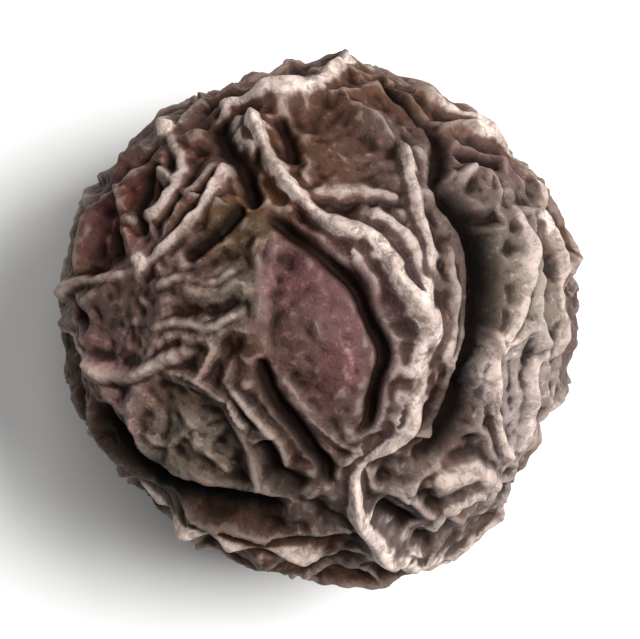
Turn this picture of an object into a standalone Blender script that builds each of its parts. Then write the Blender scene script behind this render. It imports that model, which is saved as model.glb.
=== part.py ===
"""A dried black peppercorn, resting on a small flat spot.

The berry starts as a sphere. A formula raises the net of crests that the skin shrank into, sinks the cells
between them, and adds the long crests and folds of the side seen in the photograph, the knobs, the stalk
scar and the tip scar. That side faces up, with the photograph's top towards +Y, and the origin is on the
surface that the corn rests on, under the middle of its box. Lengths are in millimetres until the skin is
done. The object is in metres, +Z up.
"""

import math
from typing import NamedTuple

import bmesh
import bpy
import numpy as np
from mathutils import noise

MM = 0.001
SEED = 497

# Body
BODY_RADIUS = 2.54
BODY_STRETCH = (1.0, 0.995, 0.945)

# Flat spot that the corn rests on: how far it is under the body's middle, the gap that the crests round it
# keep over the surface, how steeply down the skin faces where the hollows run out, and how little it faces
# down where nothing holds the crests back
FOOT_DEPTH = 2.25
FOOT_CLEARANCE = 0.03
FOOT_LEVEL = (0.90, 0.96)
FOOT_SIDE = 0.5

# Noises: height, waves that fit along the radius, and which pattern of many it is. The patterns lie along
# one slanting line, and the three noises of a drift lie apart on it.
PATTERN_LINE = (1.0, 2.3, -1.7)
DRIFT_APART = 17.0
LUMPS = (0.07, 1.4, 3.0)
WANDER_SLOW = (0.085, 1.9, 5.0)
WANDER_QUICK = (0.035, 5.2, 14.0)
CREST_SLOW = (0.45, 2.1, 31.0)
CREST_QUICK = (0.22, 7.5, 43.0)
WRINKLE_BEND = (0.08, 4.0, 61.0)
WRINKLES = (2.4, 6.5, 71.0)
WRINKLE_PATCHES = (1.0, 3.0, 83.0)
STALK_BEND = (0.12, 3.0, 97.0)
FINE_BEND = (0.05, 6.0, 113.0)
FINE_PATCHES = (1.1, 2.6, 127.0)
BEADS = (0.25, 8.0, 223.0)
LONG_BEADS = (1.1, 6.3, 263.0)
LONG_SWELLS = (1.3, 3.6, 269.0)

# Net of crests
CREST_HEIGHT = 0.20
CREST_TIP_RADIUS = 0.055
CREST_FLANK = (0.06, 0.13)
CREST_SHARE = 0.82
CREST_SHARE_LIMITS = (0.40, 1.10)
TRENCH_DEPTH = (0.02, 0.17)
TRENCH_FROM_CREST = 0.18
CELL_SINK = (-0.04, 0.26)
CELL_BLEND = 0.42
CELL_SOFTNESS = 0.07
RUN_BLEND = 0.02

# Fine net inside the cells
FINE_CREST_HEIGHT = 0.085
FINE_CREST_FLANK = 0.055
FINE_CREST_TIP_RADIUS = 0.03
FINE_CELL = 0.56
FINE_SHARE = 0.65
FINE_FROM_CREST = (0.02, 0.25)

# Wrinkles inside the cells
WRINKLE_HEIGHT = 0.07
WRINKLE_SHARE = 0.5
WRINKLE_FROM_CREST = (0.05, 0.35)

# Scars of the stalk and of the flower's tip, at opposite ends
TIP_SCAR_AT = (0.46, 0.77)
STALK_SCAR_RADIUS = 0.44
STALK_RIM_HEIGHT = 0.16
STALK_RIM_WIDTH = 0.11
STALK_PIT_DEPTH = 0.10
STALK_PIT_FLOOR = 0.5
STALK_CLEAR = (0.6, 1.7)
TIP_SCAR_RADIUS = 0.20
TIP_PIT_DEPTH = 0.16

# Cells on the photographed side. Each is a run of spots, and a spot is how far right and up it is from
# the middle of the corn's disc, and how far it reaches, all as shares of the disc's radius.
FACE_CELLS = {
    "diamond": ((-0.07, 0.20, 0.13), (0.00, 0.00, 0.20), (0.06, -0.24, 0.14)),
    "inner strip": ((0.14, 0.19, 0.04), (0.25, 0.06, 0.05), (0.31, -0.09, 0.04), (0.28, -0.26, 0.04)),
    "top": ((0.10, 0.65, 0.17), (0.22, 0.44, 0.12)),
    "ribbon": ((0.42, 0.46, 0.08), (0.50, 0.28, 0.08), (0.53, 0.10, 0.07), (0.51, -0.08, 0.07)),
    "ribbon foot": ((0.46, -0.21, 0.06), (0.42, -0.35, 0.05)),
    "deep fold": ((0.52, 0.46, 0.04), (0.61, 0.27, 0.04), (0.61, 0.05, 0.04), (0.56, -0.18, 0.04)),
    "small diamond": ((0.62, 0.49, 0.09),),
    "flange": ((0.75, 0.27, 0.10), (0.77, 0.08, 0.10)),
    "flange edge": ((0.88, 0.28, 0.09), (0.90, 0.08, 0.10), (0.91, -0.10, 0.08)),
    "flange foot": ((0.79, -0.24, 0.12), (0.80, -0.42, 0.10)),
    "right shoulder": ((0.76, 0.52, 0.08), (0.62, 0.68, 0.07)),
    "top right": ((0.32, 0.80, 0.12),),
    "lower right": ((0.50, -0.64, 0.13), (0.64, -0.62, 0.08)),
    "arc": ((0.29, -0.76, 0.07), (0.42, -0.81, 0.07)),
    "pocket": ((0.38, -0.52, 0.07),),
    "bottom middle": ((0.01, -0.68, 0.13),),
    "strip": ((-0.18, -0.33, 0.06), (-0.07, -0.50, 0.06)),
    "olive": ((-0.51, -0.37, 0.17), (-0.37, -0.50, 0.15)),
    "slant": ((-0.34, -0.17, 0.09),),
    "slot": ((-0.31, 0.09, 0.09), (-0.47, 0.03, 0.08)),
    "slot below": ((-0.45, -0.13, 0.08),),
    "wedge": ((-0.27, 0.26, 0.11), (-0.43, 0.18, 0.08)),
    "left": ((-0.66, 0.05, 0.11), (-0.75, -0.09, 0.12)),
    "left shoulder": ((-0.79, 0.28, 0.14),),
    "ring": ((-0.64, 0.46, 0.13),),
    "upper left": ((-0.45, 0.62, 0.13),),
    "brown hollow": ((-0.21, 0.52, 0.10),),
    "top left": ((-0.38, 0.78, 0.08),),
    "top edge": ((-0.16, 0.94, 0.10), (0.04, 0.97, 0.10)),
    "bottom": ((-0.38, -0.68, 0.11), (-0.18, -0.72, 0.11)),
    "left foot": ((-0.78, -0.42, 0.14),),
}

# How far each named cell sinks. The others draw theirs.
FACE_SINKS = {
    "diamond": -0.05,
    "inner strip": -0.03,
    "top": 0.03,
    "ribbon": 0.02,
    "deep fold": 0.20,
    "small diamond": 0.0,
    "flange": 0.06,
    "flange foot": -0.02,
    "lower right": -0.08,
    "pocket": 0.22,
    "brown hollow": 0.18,
    "ring": 0.12,
    "olive": 0.08,
    "slot": 0.12,
    "slot below": 0.12,
    "strip": 0.10,
}

# How much of the fine net shows on each named cell. The others draw theirs.
FACE_FINE = {
    "diamond": 0.25,
    "top": 0.45,
    "flange": 0.25,
    "flange edge": 0.4,
    "inner strip": 0.5,
}
FINE_DRAWN = (0.5, 1.3)

# Long crests on the photographed side: height and half the width in millimetres, and their spots
CRESTS = {
    "main": (
        (0.19, 0.08),
        (
            (-0.24, 0.76), (-0.22, 0.70), (-0.15, 0.57), (-0.09, 0.47),
            (0.02, 0.37), (0.12, 0.31), (0.23, 0.28), (0.29, 0.20),
        ),
    ),
    "main middle": (
        (0.20, 0.21),
        (
            (0.08, 0.35), (0.20, 0.28), (0.27, 0.20), (0.31, 0.11),
            (0.36, 0.03), (0.40, -0.07), (0.38, -0.17), (0.36, -0.26),
        ),
    ),
    "main lower": (
        (0.19, 0.12),
        (
            (0.41, 0.02), (0.42, -0.08), (0.38, -0.18), (0.38, -0.28), (0.33, -0.39),
            (0.25, -0.47), (0.17, -0.54), (0.14, -0.64), (0.17, -0.74),
        ),
    ),
    "main web": ((0.15, 0.19), ((0.20, 0.40), (0.30, 0.33), (0.37, 0.22), (0.39, 0.08))),
    "loop": (
        (0.18, 0.18),
        (
            (0.18, -0.53), (0.14, -0.64), (0.17, -0.74), (0.24, -0.83),
            (0.32, -0.89), (0.42, -0.90), (0.53, -0.86), (0.62, -0.77),
        ),
    ),
    "ribbon": (
        (0.14, 0.13),
        ((0.32, 0.66), (0.35, 0.51), (0.37, 0.36), (0.41, 0.26), (0.40, 0.14), (0.36, 0.02)),
    ),
    "ribbon edge": ((0.07, 0.06), ((0.50, 0.26), (0.50, 0.12), (0.52, -0.02), (0.49, -0.12))),
    "top": (
        (0.17, 0.13),
        ((-0.38, 0.80), (-0.28, 0.82), (-0.14, 0.81), (-0.02, 0.84), (0.07, 0.90), (0.14, 0.97)),
    ),
    "top foot": ((0.07, 0.08), ((-0.03, 0.44), (0.08, 0.48), (0.20, 0.48), (0.32, 0.44))),
    "upper left": (
        (0.14, 0.08),
        ((-0.67, 0.18), (-0.57, 0.27), (-0.46, 0.36), (-0.37, 0.46), (-0.32, 0.58)),
    ),
    "ring": (
        (0.12, 0.06),
        ((-0.62, 0.79), (-0.55, 0.71), (-0.47, 0.60), (-0.52, 0.46), (-0.60, 0.36), (-0.72, 0.38)),
    ),
    "left": (
        (0.12, 0.075),
        (
            (-0.97, -0.03), (-0.90, -0.10), (-0.83, -0.17), (-0.76, -0.22),
            (-0.66, -0.21), (-0.57, -0.15), (-0.48, -0.11),
        ),
    ),
    "left rim": ((0.12, 0.07), ((-0.96, 0.08), (-0.89, 0.16), (-0.78, 0.14), (-0.66, 0.20))),
    "bar": ((0.05, 0.06), ((-0.60, -0.05), (-0.49, 0.00), (-0.38, -0.04), (-0.28, 0.02))),
    "bar above": ((0.05, 0.06), ((-0.60, 0.12), (-0.50, 0.17), (-0.38, 0.13), (-0.28, 0.19))),
    "slope": ((0.10, 0.05), ((-0.30, -0.24), (-0.22, -0.35), (-0.14, -0.44), (-0.09, -0.55))),
    "bottom": (
        (0.16, 0.13),
        (
            (-0.70, -0.62), (-0.60, -0.73), (-0.50, -0.78), (-0.38, -0.80),
            (-0.26, -0.85), (-0.12, -0.87), (0.06, -0.91),
        ),
    ),
    "shoulder": (
        (0.16, 0.10),
        ((0.40, 0.86), (0.50, 0.81), (0.62, 0.72), (0.71, 0.65), (0.79, 0.58), (0.85, 0.50), (0.89, 0.41)),
    ),
    "flange": (
        (0.12, 0.09),
        ((0.73, 0.43), (0.77, 0.31), (0.78, 0.16), (0.77, 0.02), (0.71, -0.10)),
    ),
    "flange edge": (
        (0.12, 0.09),
        ((0.87, 0.38), (0.92, 0.24), (0.93, 0.10), (0.93, -0.05), (0.89, -0.16)),
    ),
    "flange foot": (
        (0.15, 0.11),
        ((0.70, -0.08), (0.67, -0.18), (0.66, -0.31), (0.69, -0.42), (0.72, -0.53)),
    ),
    "flange foot edge": (
        (0.11, 0.09),
        ((0.90, -0.10), (0.82, -0.18), (0.81, -0.30), (0.81, -0.42), (0.75, -0.52)),
    ),
    "cup": (
        (0.11, 0.13),
        ((0.43, -0.61), (0.52, -0.58), (0.62, -0.53), (0.68, -0.63), (0.66, -0.75)),
    ),
    "cup stripe": ((0.08, 0.12), ((0.43, -0.80), (0.47, -0.72), (0.54, -0.66), (0.62, -0.61))),
    "diamond side": ((0.03, 0.10), ((-0.17, 0.32), (-0.20, 0.20), (-0.20, 0.06), (-0.23, -0.08))),
    "small diamond": ((0.10, 0.06), ((0.53, 0.52), (0.60, 0.58), (0.68, 0.54), (0.70, 0.44))),
}

# Folds there: depth and width in millimetres, and their spots
FOLDS = {
    "deep": (
        (0.46, 0.11),
        (
            (0.47, 0.56), (0.50, 0.47), (0.56, 0.40), (0.61, 0.32), (0.63, 0.16), (0.63, -0.01),
            (0.61, -0.11), (0.57, -0.20), (0.56, -0.32), (0.53, -0.41), (0.46, -0.49), (0.36, -0.55),
        ),
    ),
    "deep middle": ((0.16, 0.20), ((0.61, 0.36), (0.64, 0.24), (0.65, 0.10), (0.63, -0.06))),
    "right of diamond": (
        (0.22, 0.055),
        (
            (-0.20, 0.42), (-0.12, 0.34), (-0.02, 0.28), (0.08, 0.20), (0.15, 0.12),
            (0.20, 0.03), (0.25, -0.07), (0.27, -0.16), (0.23, -0.26), (0.22, -0.36), (0.15, -0.42),
        ),
    ),
    "left of diamond": (
        (0.22, 0.055),
        (
            (-0.22, -0.12), (-0.18, -0.21), (-0.13, -0.30), (-0.08, -0.38),
            (-0.02, -0.46), (0.05, -0.53), (0.05, -0.63),
        ),
    ),
    "under upper left": ((0.18, 0.065), ((-0.26, 0.44), (-0.37, 0.32), (-0.50, 0.23))),
    "brown": ((0.16, 0.08), ((-0.36, 0.77), (-0.34, 0.67), (-0.27, 0.55), (-0.21, 0.42))),
    "right of knob": ((0.13, 0.06), ((-0.13, 0.75), (-0.09, 0.67), (-0.08, 0.58))),
    "in the ring": ((0.14, 0.07), ((-0.58, 0.61), (-0.63, 0.53), (-0.66, 0.42), (-0.63, 0.32))),
    "above small diamond": ((0.16, 0.06), ((0.52, 0.62), (0.62, 0.60), (0.70, 0.57))),
    "below small diamond": ((0.16, 0.06), ((0.56, 0.42), (0.63, 0.37), (0.70, 0.40))),
    "slit": ((0.05, 0.05), ((0.74, -0.14), (0.74, -0.24), (0.74, -0.36))),
    "arc": ((0.15, 0.07), ((0.24, -0.69), (0.32, -0.74), (0.38, -0.79))),
    "dark spot": ((0.14, 0.09), ((-0.20, -0.44), (-0.16, -0.51), (-0.12, -0.58), (-0.02, -0.64))),
    "left edge": ((0.12, 0.07), ((-0.92, 0.04), (-0.86, -0.03))),
    "above bottom": (
        (0.22, 0.15),
        (
            (-0.82, -0.30), (-0.78, -0.41), (-0.70, -0.51), (-0.60, -0.61),
            (-0.50, -0.66), (-0.36, -0.68), (-0.22, -0.71), (-0.08, -0.74),
        ),
    ),
    "beside top": (
        (0.20, 0.07),
        ((0.21, 0.93), (0.29, 0.87), (0.35, 0.81), (0.43, 0.75), (0.48, 0.69), (0.46, 0.58), (0.45, 0.46)),
    ),
}
CREST_WANDER = 0.55
LONG_CREST_FLANK = 0.060
LONG_CREST_END = 0.35
CREST_TAPER = 0.14
WEB_CLEAR = 0.16
FOLD_SHAPE = 1.5
CORNER_CUT = 0.25
FACE_FROM = (0.10, 0.45)

# Furrows and ribs on the hidden sides: the noises that bend them and draw them, how much of them shows,
# and the noise of the patches that they show in
FURROWS = ((0.10, 3.1, 301.0), (7.0, 1.5, 307.0), 0.4, (1.8, 1.9, 311.0))
FURROW_DEPTH = 0.24
RIBS = ((0.12, 2.8, 503.0), (6.0, 1.9, 509.0), 0.6, (1.6, 2.1, 521.0))
RIB_HEIGHT = 0.20

# Knobs on the crests: right, up and reach as above, and height in millimetres
KNOBS = (
    (-0.23, 0.70, 0.080, 0.09),
    (-0.09, 0.47, 0.055, 0.06),
    (0.23, 0.28, 0.055, 0.07),
    (0.36, 0.10, 0.055, 0.06),
    (0.44, -0.04, 0.045, 0.04),
    (0.19, -0.73, 0.055, 0.05),
    (0.30, -0.88, 0.050, 0.04),
    (0.48, -0.86, 0.050, 0.02),
    (0.62, 0.71, 0.055, 0.05),
    (0.86, 0.36, 0.050, 0.03),
    (0.73, -0.50, 0.050, 0.04),
    (0.72, -0.10, 0.045, 0.03),
    (-0.55, 0.71, 0.050, 0.05),
    (-0.65, 0.22, 0.040, 0.04),
    (0.13, 0.97, 0.080, 0.06),
)

# Lobes of the outline, and dents below 0: right, up, reach and height, as for the knobs
LOBES = (
    (-0.24, 0.97, 0.32, -0.16),
    (0.12, 0.99, 0.22, 0.07),
    (0.38, 0.91, 0.14, -0.06),
    (-0.78, 0.62, 0.20, -0.06),
    (-0.99, 0.00, 0.35, -0.07),
    (-0.80, -0.60, 0.42, -0.18),
    (-0.20, -0.98, 0.24, -0.14),
    (0.44, -0.90, 0.26, 0.12),
    (0.97, 0.10, 0.50, 0.06),
)

# Hidden cells: their reaches, from large to small, and the tries at placing one of each
HIDDEN_REACH = (0.28, 0.10)
HIDDEN_STEPS = 26
HIDDEN_TRIES = 160
HIDDEN_OVERLAP = 0.80
HIDDEN_TOP = 0.40
SMALL_CELL_REACH = 0.15
SMALL_CELL_EXTRA_SINK = 0.12

# Grid, the triangles that are kept of it, and the smoothing in between
GRID_LEVEL = 7
TRIANGLES = 11000
SMOOTHING = 0.5
WELD = 0.012
SHARP_ANGLE = 50.0

# Skin
SKIN_COLOUR = (0.052, 0.036, 0.030, 1.0)
SKIN_ROUGHNESS = 0.62


class Net(NamedTuple):
    """The net's cells and what was drawn for them. Flank and trench hold one value for each two cells."""

    cells: list
    sinks: np.ndarray
    fine: np.ndarray
    flank: np.ndarray
    trench: np.ndarray


class Borders(NamedTuple):
    """Where each point lies in the net. Edge is the nearest spot on the nearest border."""

    inside: np.ndarray
    distances: np.ndarray
    edge: np.ndarray


def smooth_step(low, high, values):
    """0 below low, 1 above high, and a smooth rise between them."""
    t = np.clip((values - low) / (high - low), 0.0, 1.0)
    return t * t * (3.0 - 2.0 * t)


def swell(points, wave):
    """Smooth noise between about plus and minus its height."""
    height, per_radius, pattern = wave
    spots = points * per_radius + pattern * np.array(PATTERN_LINE)
    return height * np.array([noise.noise(spot) for spot in spots.tolist()])


def drift(points, wave):
    """Three unlike noises side by side, which move a point about."""
    height, per_radius, pattern = wave
    patterns = [pattern + DRIFT_APART * k for k in range(3)]
    return np.stack([swell(points, (height, per_radius, each)) for each in patterns], axis=1)


def ridges(points, wave):
    """Noise with sharp crests: 1 on its lines and falling to 0 between them."""
    return 1.0 - np.minimum(1.0, np.abs(swell(points, wave)))


def patches(points, share, wave):
    """How far a detail shows, from 0 to 1, in patches round its usual share."""
    return np.clip(share + swell(points, wave), 0.0, 1.0)


def face_direction(right, up):
    """The direction of a spot on the photographed side."""
    return np.array((right, up, math.sqrt(max(0.0, 1.0 - right * right - up * up))))


def wander(points):
    """Moves the points about a little, so that what is laid out straight on the sphere comes out bent."""
    moved = points + drift(points, WANDER_SLOW) + drift(points, WANDER_QUICK)
    return moved / np.linalg.norm(moved, axis=1, keepdims=True)


def lay_cells(random):
    """Every cell as (name, spots, reaches, sink): those in the photograph, then hidden ones where there is
    room."""
    cells = []
    for name, run in FACE_CELLS.items():
        spots = np.array([face_direction(right, up) for right, up, _ in run])
        reaches = np.array([reach for _, _, reach in run])
        sink = FACE_SINKS.get(name, random.uniform(*CELL_SINK))
        cells.append((name, spots, reaches, sink))
    taken = np.concatenate([spots for _, spots, _, _ in cells])
    taken_reach = np.concatenate([reaches for _, _, reaches, _ in cells])
    for reach in np.linspace(*HIDDEN_REACH, HIDDEN_STEPS):
        for spot in random.normal(size=(HIDDEN_TRIES, 3)):
            spot = spot / np.linalg.norm(spot)
            apart = np.linalg.norm(taken - spot, axis=1)
            if spot[2] < HIDDEN_TOP and np.all(apart > HIDDEN_OVERLAP * (taken_reach + reach)):
                taken = np.vstack([taken, spot])
                taken_reach = np.append(taken_reach, reach)
                sink = random.uniform(*CELL_SINK) + SMALL_CELL_EXTRA_SINK * (reach < SMALL_CELL_REACH)
                cells.append(("hidden", spot[None, :], np.array([reach]), sink))
    return cells


def lay_net():
    random = np.random.default_rng(SEED)
    laid = lay_cells(random)
    count = len(laid)
    flank = random.uniform(*CREST_FLANK, size=(count, count))
    trench = random.uniform(*TRENCH_DEPTH, size=(count, count))
    fine = random.uniform(*FINE_DRAWN, size=count)
    fine = [FACE_FINE.get(name, drawn) for (name, _, _, _), drawn in zip(laid, fine)]
    return Net(
        cells=[(wander(spots), reaches) for _, spots, reaches, _ in laid],
        sinks=np.array([sink for _, _, _, sink in laid]),
        fine=np.array(fine),
        flank=flank,
        trench=trench,
    )


def cell_fields(points, cells):
    """For each point and cell, how far the point is from it (squared, less its reach squared) and the
    spot that it is measured from. A run of spots counts as one long cell."""
    fields = np.empty((len(points), len(cells)))
    origins = np.empty((len(points), len(cells), 3))
    for k, (spots, reaches) in enumerate(cells):
        apart = ((points[:, None, :] - spots[None, :, :]) ** 2).sum(axis=2) - reaches**2
        least = apart.min(axis=1, keepdims=True)
        share = np.exp((least - apart) / RUN_BLEND)
        total = share.sum(axis=1, keepdims=True)
        fields[:, k] = (least - RUN_BLEND * np.log(total))[:, 0]
        origins[:, k] = (share / total) @ spots
    return fields, origins


def find_borders(points, cells):
    """The cell that each point is in, and its distance to the border with every other."""
    points = wander(points)
    fields, origins = cell_fields(points, cells)
    rows = np.arange(len(points))
    inside = fields.argmin(axis=1)
    gap = fields - fields[rows, inside][:, None]
    span = np.linalg.norm(origins - origins[rows, inside][:, None, :], axis=2)
    span[rows, inside] = 1.0
    distances = BODY_RADIUS * gap / (2.0 * span)
    distances[rows, inside] = np.inf
    beside = distances.argmin(axis=1)
    across = (origins[rows, beside] - origins[rows, inside]) / span[rows, beside][:, None]
    edge = points + across * (distances[rows, beside] / BODY_RADIUS)[:, None]
    return Borders(inside, distances, edge)


def cut_corners(run):
    """The run with each corner cut, so that it bends smoothly."""
    cut = CORNER_CUT * np.diff(run, axis=0)
    between = np.stack([run[:-1] + cut, run[1:] - cut], axis=1).reshape(-1, 3)
    return np.vstack([run[:1], between, run[-1:]])


def along_run(points, spots):
    """How far each point is from a run of spots on the photographed side, and how much of the run's height
    is left there, which falls to 0 at both ends."""
    run = cut_corners(np.array([face_direction(right, up) for right, up in spots]))
    nearest = np.full(len(points), np.inf)
    along = np.zeros(len(points))
    for k, (start, end) in enumerate(zip(run[:-1], run[1:])):
        step = end - start
        share = np.clip((points - start) @ step / (step @ step), 0.0, 1.0)
        apart = BODY_RADIUS * np.linalg.norm(points - start - share[:, None] * step, axis=1)
        closer = apart < nearest
        nearest[closer] = apart[closer]
        along[closer] = (k + share[closer]) / (len(run) - 1)
    return nearest, smooth_step(0.0, CREST_TAPER, along) * smooth_step(0.0, CREST_TAPER, 1.0 - along)


def face_relief(points):
    """The long crests and the folds of the photographed side: how high each point is on a crest, how
    deep in a fold, and how far it is from the nearest of them."""
    high, deep = np.zeros((2, len(points)))
    nearest = np.full(len(points), np.inf)
    bent = points + CREST_WANDER * drift(points, WANDER_QUICK)
    beads = 1.0 + swell(points, LONG_BEADS)
    wide = np.exp(swell(points, LONG_SWELLS))
    for (height, width), spots in CRESTS.values():
        apart, left = along_run(bent, spots)
        across = apart / wide
        rounded = np.hypot(across, width) - width
        tall = height * beads * (LONG_CREST_END + (1.0 - LONG_CREST_END) * left)
        high = np.maximum(high, tall * np.exp(-rounded / LONG_CREST_FLANK))
        nearest = np.minimum(nearest, apart)
    for (depth, width), spots in FOLDS.values():
        apart, left = along_run(bent, spots)
        deep = np.maximum(deep, depth * left * np.exp(-((apart / width) ** FOLD_SHAPE)))
        nearest = np.minimum(nearest, np.maximum(apart - width, 0.0))
    return high, deep, nearest


def winding_lines(points, lines):
    """Long lines on the hidden sides, from 0 beside them to 1 along their middle."""
    bend, drawn, share, where = lines
    line = ridges(points + drift(points, bend), drawn) ** 2 * patches(points, share, where)
    return line * (1.0 - smooth_step(*FACE_FROM, points[:, 2]))


def crest_strength(points):
    """How tall the crests stand, from about a third to a little over their full height."""
    strength = CREST_SHARE + swell(points, CREST_SLOW) + swell(points, CREST_QUICK)
    return np.clip(strength, *CREST_SHARE_LIMITS)


def cell_walls(points, cell):
    """How far each point is from the nearest wall of a net of cells this wide."""
    to_wall = np.empty(len(points))
    for k, spot in enumerate((points * BODY_RADIUS / cell).tolist()):
        apart, seeds = noise.voronoi(spot)
        to_wall[k] = (apart[1] ** 2 - apart[0] ** 2) / (2.0 * (seeds[1] - seeds[0]).length)
    return to_wall * cell


def fine_net(points):
    """A finer net of crests, from 0 between them to 1 on them, that comes and goes over the skin."""
    to_wall = cell_walls(points + drift(points, FINE_BEND), FINE_CELL)
    distance = np.hypot(to_wall, FINE_CREST_TIP_RADIUS) - FINE_CREST_TIP_RADIUS
    return np.exp(-distance / FINE_CREST_FLANK) * patches(points, FINE_SHARE, FINE_PATCHES)


def net_height(points, net):
    """Crests, the trench beside each, the sunken floors and the wrinkles on them, over the body."""
    borders = find_borders(points, net.cells)
    inside, distances = borders.inside, borders.distances
    nearest = distances.min(axis=1)

    rounded = np.sqrt(distances**2 + CREST_TIP_RADIUS**2) - CREST_TIP_RADIUS
    crest = np.exp(-rounded / net.flank[inside]).max(axis=1)
    from_crest = np.where(np.isfinite(distances), distances, 0.0) / TRENCH_FROM_CREST
    dip = net.trench[inside] * (from_crest * np.exp(1.0 - from_crest)) ** 2

    soft = -CELL_SOFTNESS * np.log(np.exp(-distances / CELL_SOFTNESS).sum(axis=1))
    floor = net.sinks[inside] * smooth_step(0.0, CELL_BLEND, np.maximum(soft, 0.0))

    wrinkle = ridges(points + drift(points, WRINKLE_BEND), WRINKLES)
    wrinkle *= patches(points, WRINKLE_SHARE, WRINKLE_PATCHES) * smooth_step(*WRINKLE_FROM_CREST, nearest)
    fine = net.fine[inside] * fine_net(points) * smooth_step(*FINE_FROM_CREST, nearest) * (1.0 - crest)

    high, deep, to_long = face_relief(points)
    on_face = smooth_step(*FACE_FROM, points[:, 2])
    web = (1.0 - on_face * (1.0 - smooth_step(0.0, WEB_CLEAR, to_long))) * crest_strength(points)
    web_high = CREST_HEIGHT * web * (1.0 + swell(borders.edge, BEADS)) * crest
    furrow = winding_lines(points, FURROWS)
    rib = winding_lines(points, RIBS) * (1.0 - furrow)
    height = np.maximum.reduce([web_high, high, RIB_HEIGHT * rib])
    height += WRINKLE_HEIGHT * wrinkle + FINE_CREST_HEIGHT * fine - web * dip.max(axis=1) - floor
    return height - deep - FURROW_DEPTH * furrow


def knob_height(points):
    height = np.zeros(len(points))
    for right, up, reach, tall in KNOBS:
        apart = ((points - face_direction(right, up)) ** 2).sum(axis=1)
        height += tall * np.exp(-apart / reach**2)
    return height


def body_radius(points):
    """How far the smooth body reaches before its skin shrinks into crests and folds."""
    radius = BODY_RADIUS + swell(points, LUMPS)
    for right, up, reach, height in LOBES:
        apart = ((points - face_direction(right, up)) ** 2).sum(axis=1)
        radius += height * np.exp(-apart / reach**2)
    return radius


def scar_heights(points):
    """The two scars, and how much of the net is left around them, from 0 to 1."""
    tip = face_direction(*TIP_SCAR_AT)
    to_tip = BODY_RADIUS * np.linalg.norm(points - tip, axis=1)
    to_stalk = BODY_RADIUS * np.linalg.norm(points + tip, axis=1)
    to_stalk = to_stalk * (1.0 + swell(points, STALK_BEND))
    rim = np.exp(-(((to_stalk - STALK_SCAR_RADIUS) / STALK_RIM_WIDTH) ** 2))
    pit = 1.0 - smooth_step(STALK_PIT_FLOOR * STALK_SCAR_RADIUS, STALK_SCAR_RADIUS, to_stalk)
    tip_pit = np.exp(-((to_tip / TIP_SCAR_RADIUS) ** 2))
    height = STALK_RIM_HEIGHT * rim - STALK_PIT_DEPTH * pit - TIP_PIT_DEPTH * tip_pit
    clear_from, clear_to = STALK_CLEAR
    net_left = smooth_step(clear_from * STALK_SCAR_RADIUS, clear_to * STALK_SCAR_RADIUS, to_stalk)
    return height, net_left


def press_at_foot(points, body, relief):
    """The relief with its crests kept off the surface that the corn rests on, and none in the flat
    spot."""
    down = -points[:, 2]
    room = (FOOT_DEPTH - FOOT_CLEARANCE) / (BODY_STRETCH[2] * np.maximum(down, FOOT_SIDE)) - body
    relief = np.minimum(relief, np.maximum(room, 0.0))
    return relief * (1.0 - smooth_step(*FOOT_LEVEL, down))


def skin_places(points):
    """Where the skin lies from the body's middle, for directions on the unit sphere."""
    scars, net_left = scar_heights(points)
    body = body_radius(points)
    relief = net_height(points, lay_net()) * net_left + scars + knob_height(points)
    relief = press_at_foot(points, body, relief)
    return points * (body + relief)[:, None] * np.array(BODY_STRETCH)


def corn_mesh():
    """A fine sphere whose points are moved out to the skin."""
    mesh = bpy.data.meshes.new("skin_grid")
    sphere = bmesh.new()
    bmesh.ops.create_icosphere(sphere, subdivisions=GRID_LEVEL, radius=1.0)
    points = np.array([corner.co for corner in sphere.verts])
    points /= np.linalg.norm(points, axis=1, keepdims=True)
    for corner, place in zip(sphere.verts, skin_places(points).tolist()):
        corner.co = place
    bmesh.ops.smooth_vert(
        sphere, verts=sphere.verts[:], factor=SMOOTHING, use_axis_x=True, use_axis_y=True, use_axis_z=True
    )
    sphere.to_mesh(mesh)
    sphere.free()
    return mesh


def thin_out(mesh, triangles):
    """The mesh with this many triangles, close together on the crests and far apart on the floors."""
    grid = bpy.data.objects.new("thinning", mesh)
    bpy.context.scene.collection.objects.link(grid)
    decimate = grid.modifiers.new("Decimate", "DECIMATE")
    decimate.ratio = triangles / len(mesh.polygons)
    graph = bpy.context.evaluated_depsgraph_get()
    thinned = bpy.data.meshes.new_from_object(grid.evaluated_get(graph))
    bpy.data.objects.remove(grid)
    return thinned


def cut_foot(mesh):
    """Cuts the flat spot and closes it, then moves the origin under the middle of the box, in metres."""
    body = bmesh.new()
    body.from_mesh(mesh)
    everything = body.verts[:] + body.edges[:] + body.faces[:]
    plane = (0.0, 0.0, -FOOT_DEPTH)
    cut = bmesh.ops.bisect_plane(
        body, geom=everything, dist=WELD, plane_co=plane, plane_no=(0.0, 0.0, -1.0), clear_outer=True
    )
    rim = [item for item in cut["geom_cut"] if isinstance(item, bmesh.types.BMEdge)]
    for edge in rim:
        for corner in edge.verts:
            corner.co.z = -FOOT_DEPTH
    bmesh.ops.contextual_create(body, geom=rim)
    low = [min(corner.co[k] for corner in body.verts) for k in range(3)]
    high = [max(corner.co[k] for corner in body.verts) for k in range(3)]
    middle = (0.5 * (low[0] + high[0]), 0.5 * (low[1] + high[1]), low[2])
    for corner in body.verts:
        corner.co = [MM * (corner.co[k] - middle[k]) for k in range(3)]
    bmesh.ops.recalc_face_normals(body, faces=body.faces[:])
    body.to_mesh(mesh)
    body.free()


def skin_material():
    material = bpy.data.materials.new("dried_skin")
    material.use_nodes = True
    shader = material.node_tree.nodes["Principled BSDF"]
    shader.inputs["Base Color"].default_value = SKIN_COLOUR
    shader.inputs["Roughness"].default_value = SKIN_ROUGHNESS
    shader.inputs["Metallic"].default_value = 0.0
    return material


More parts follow.
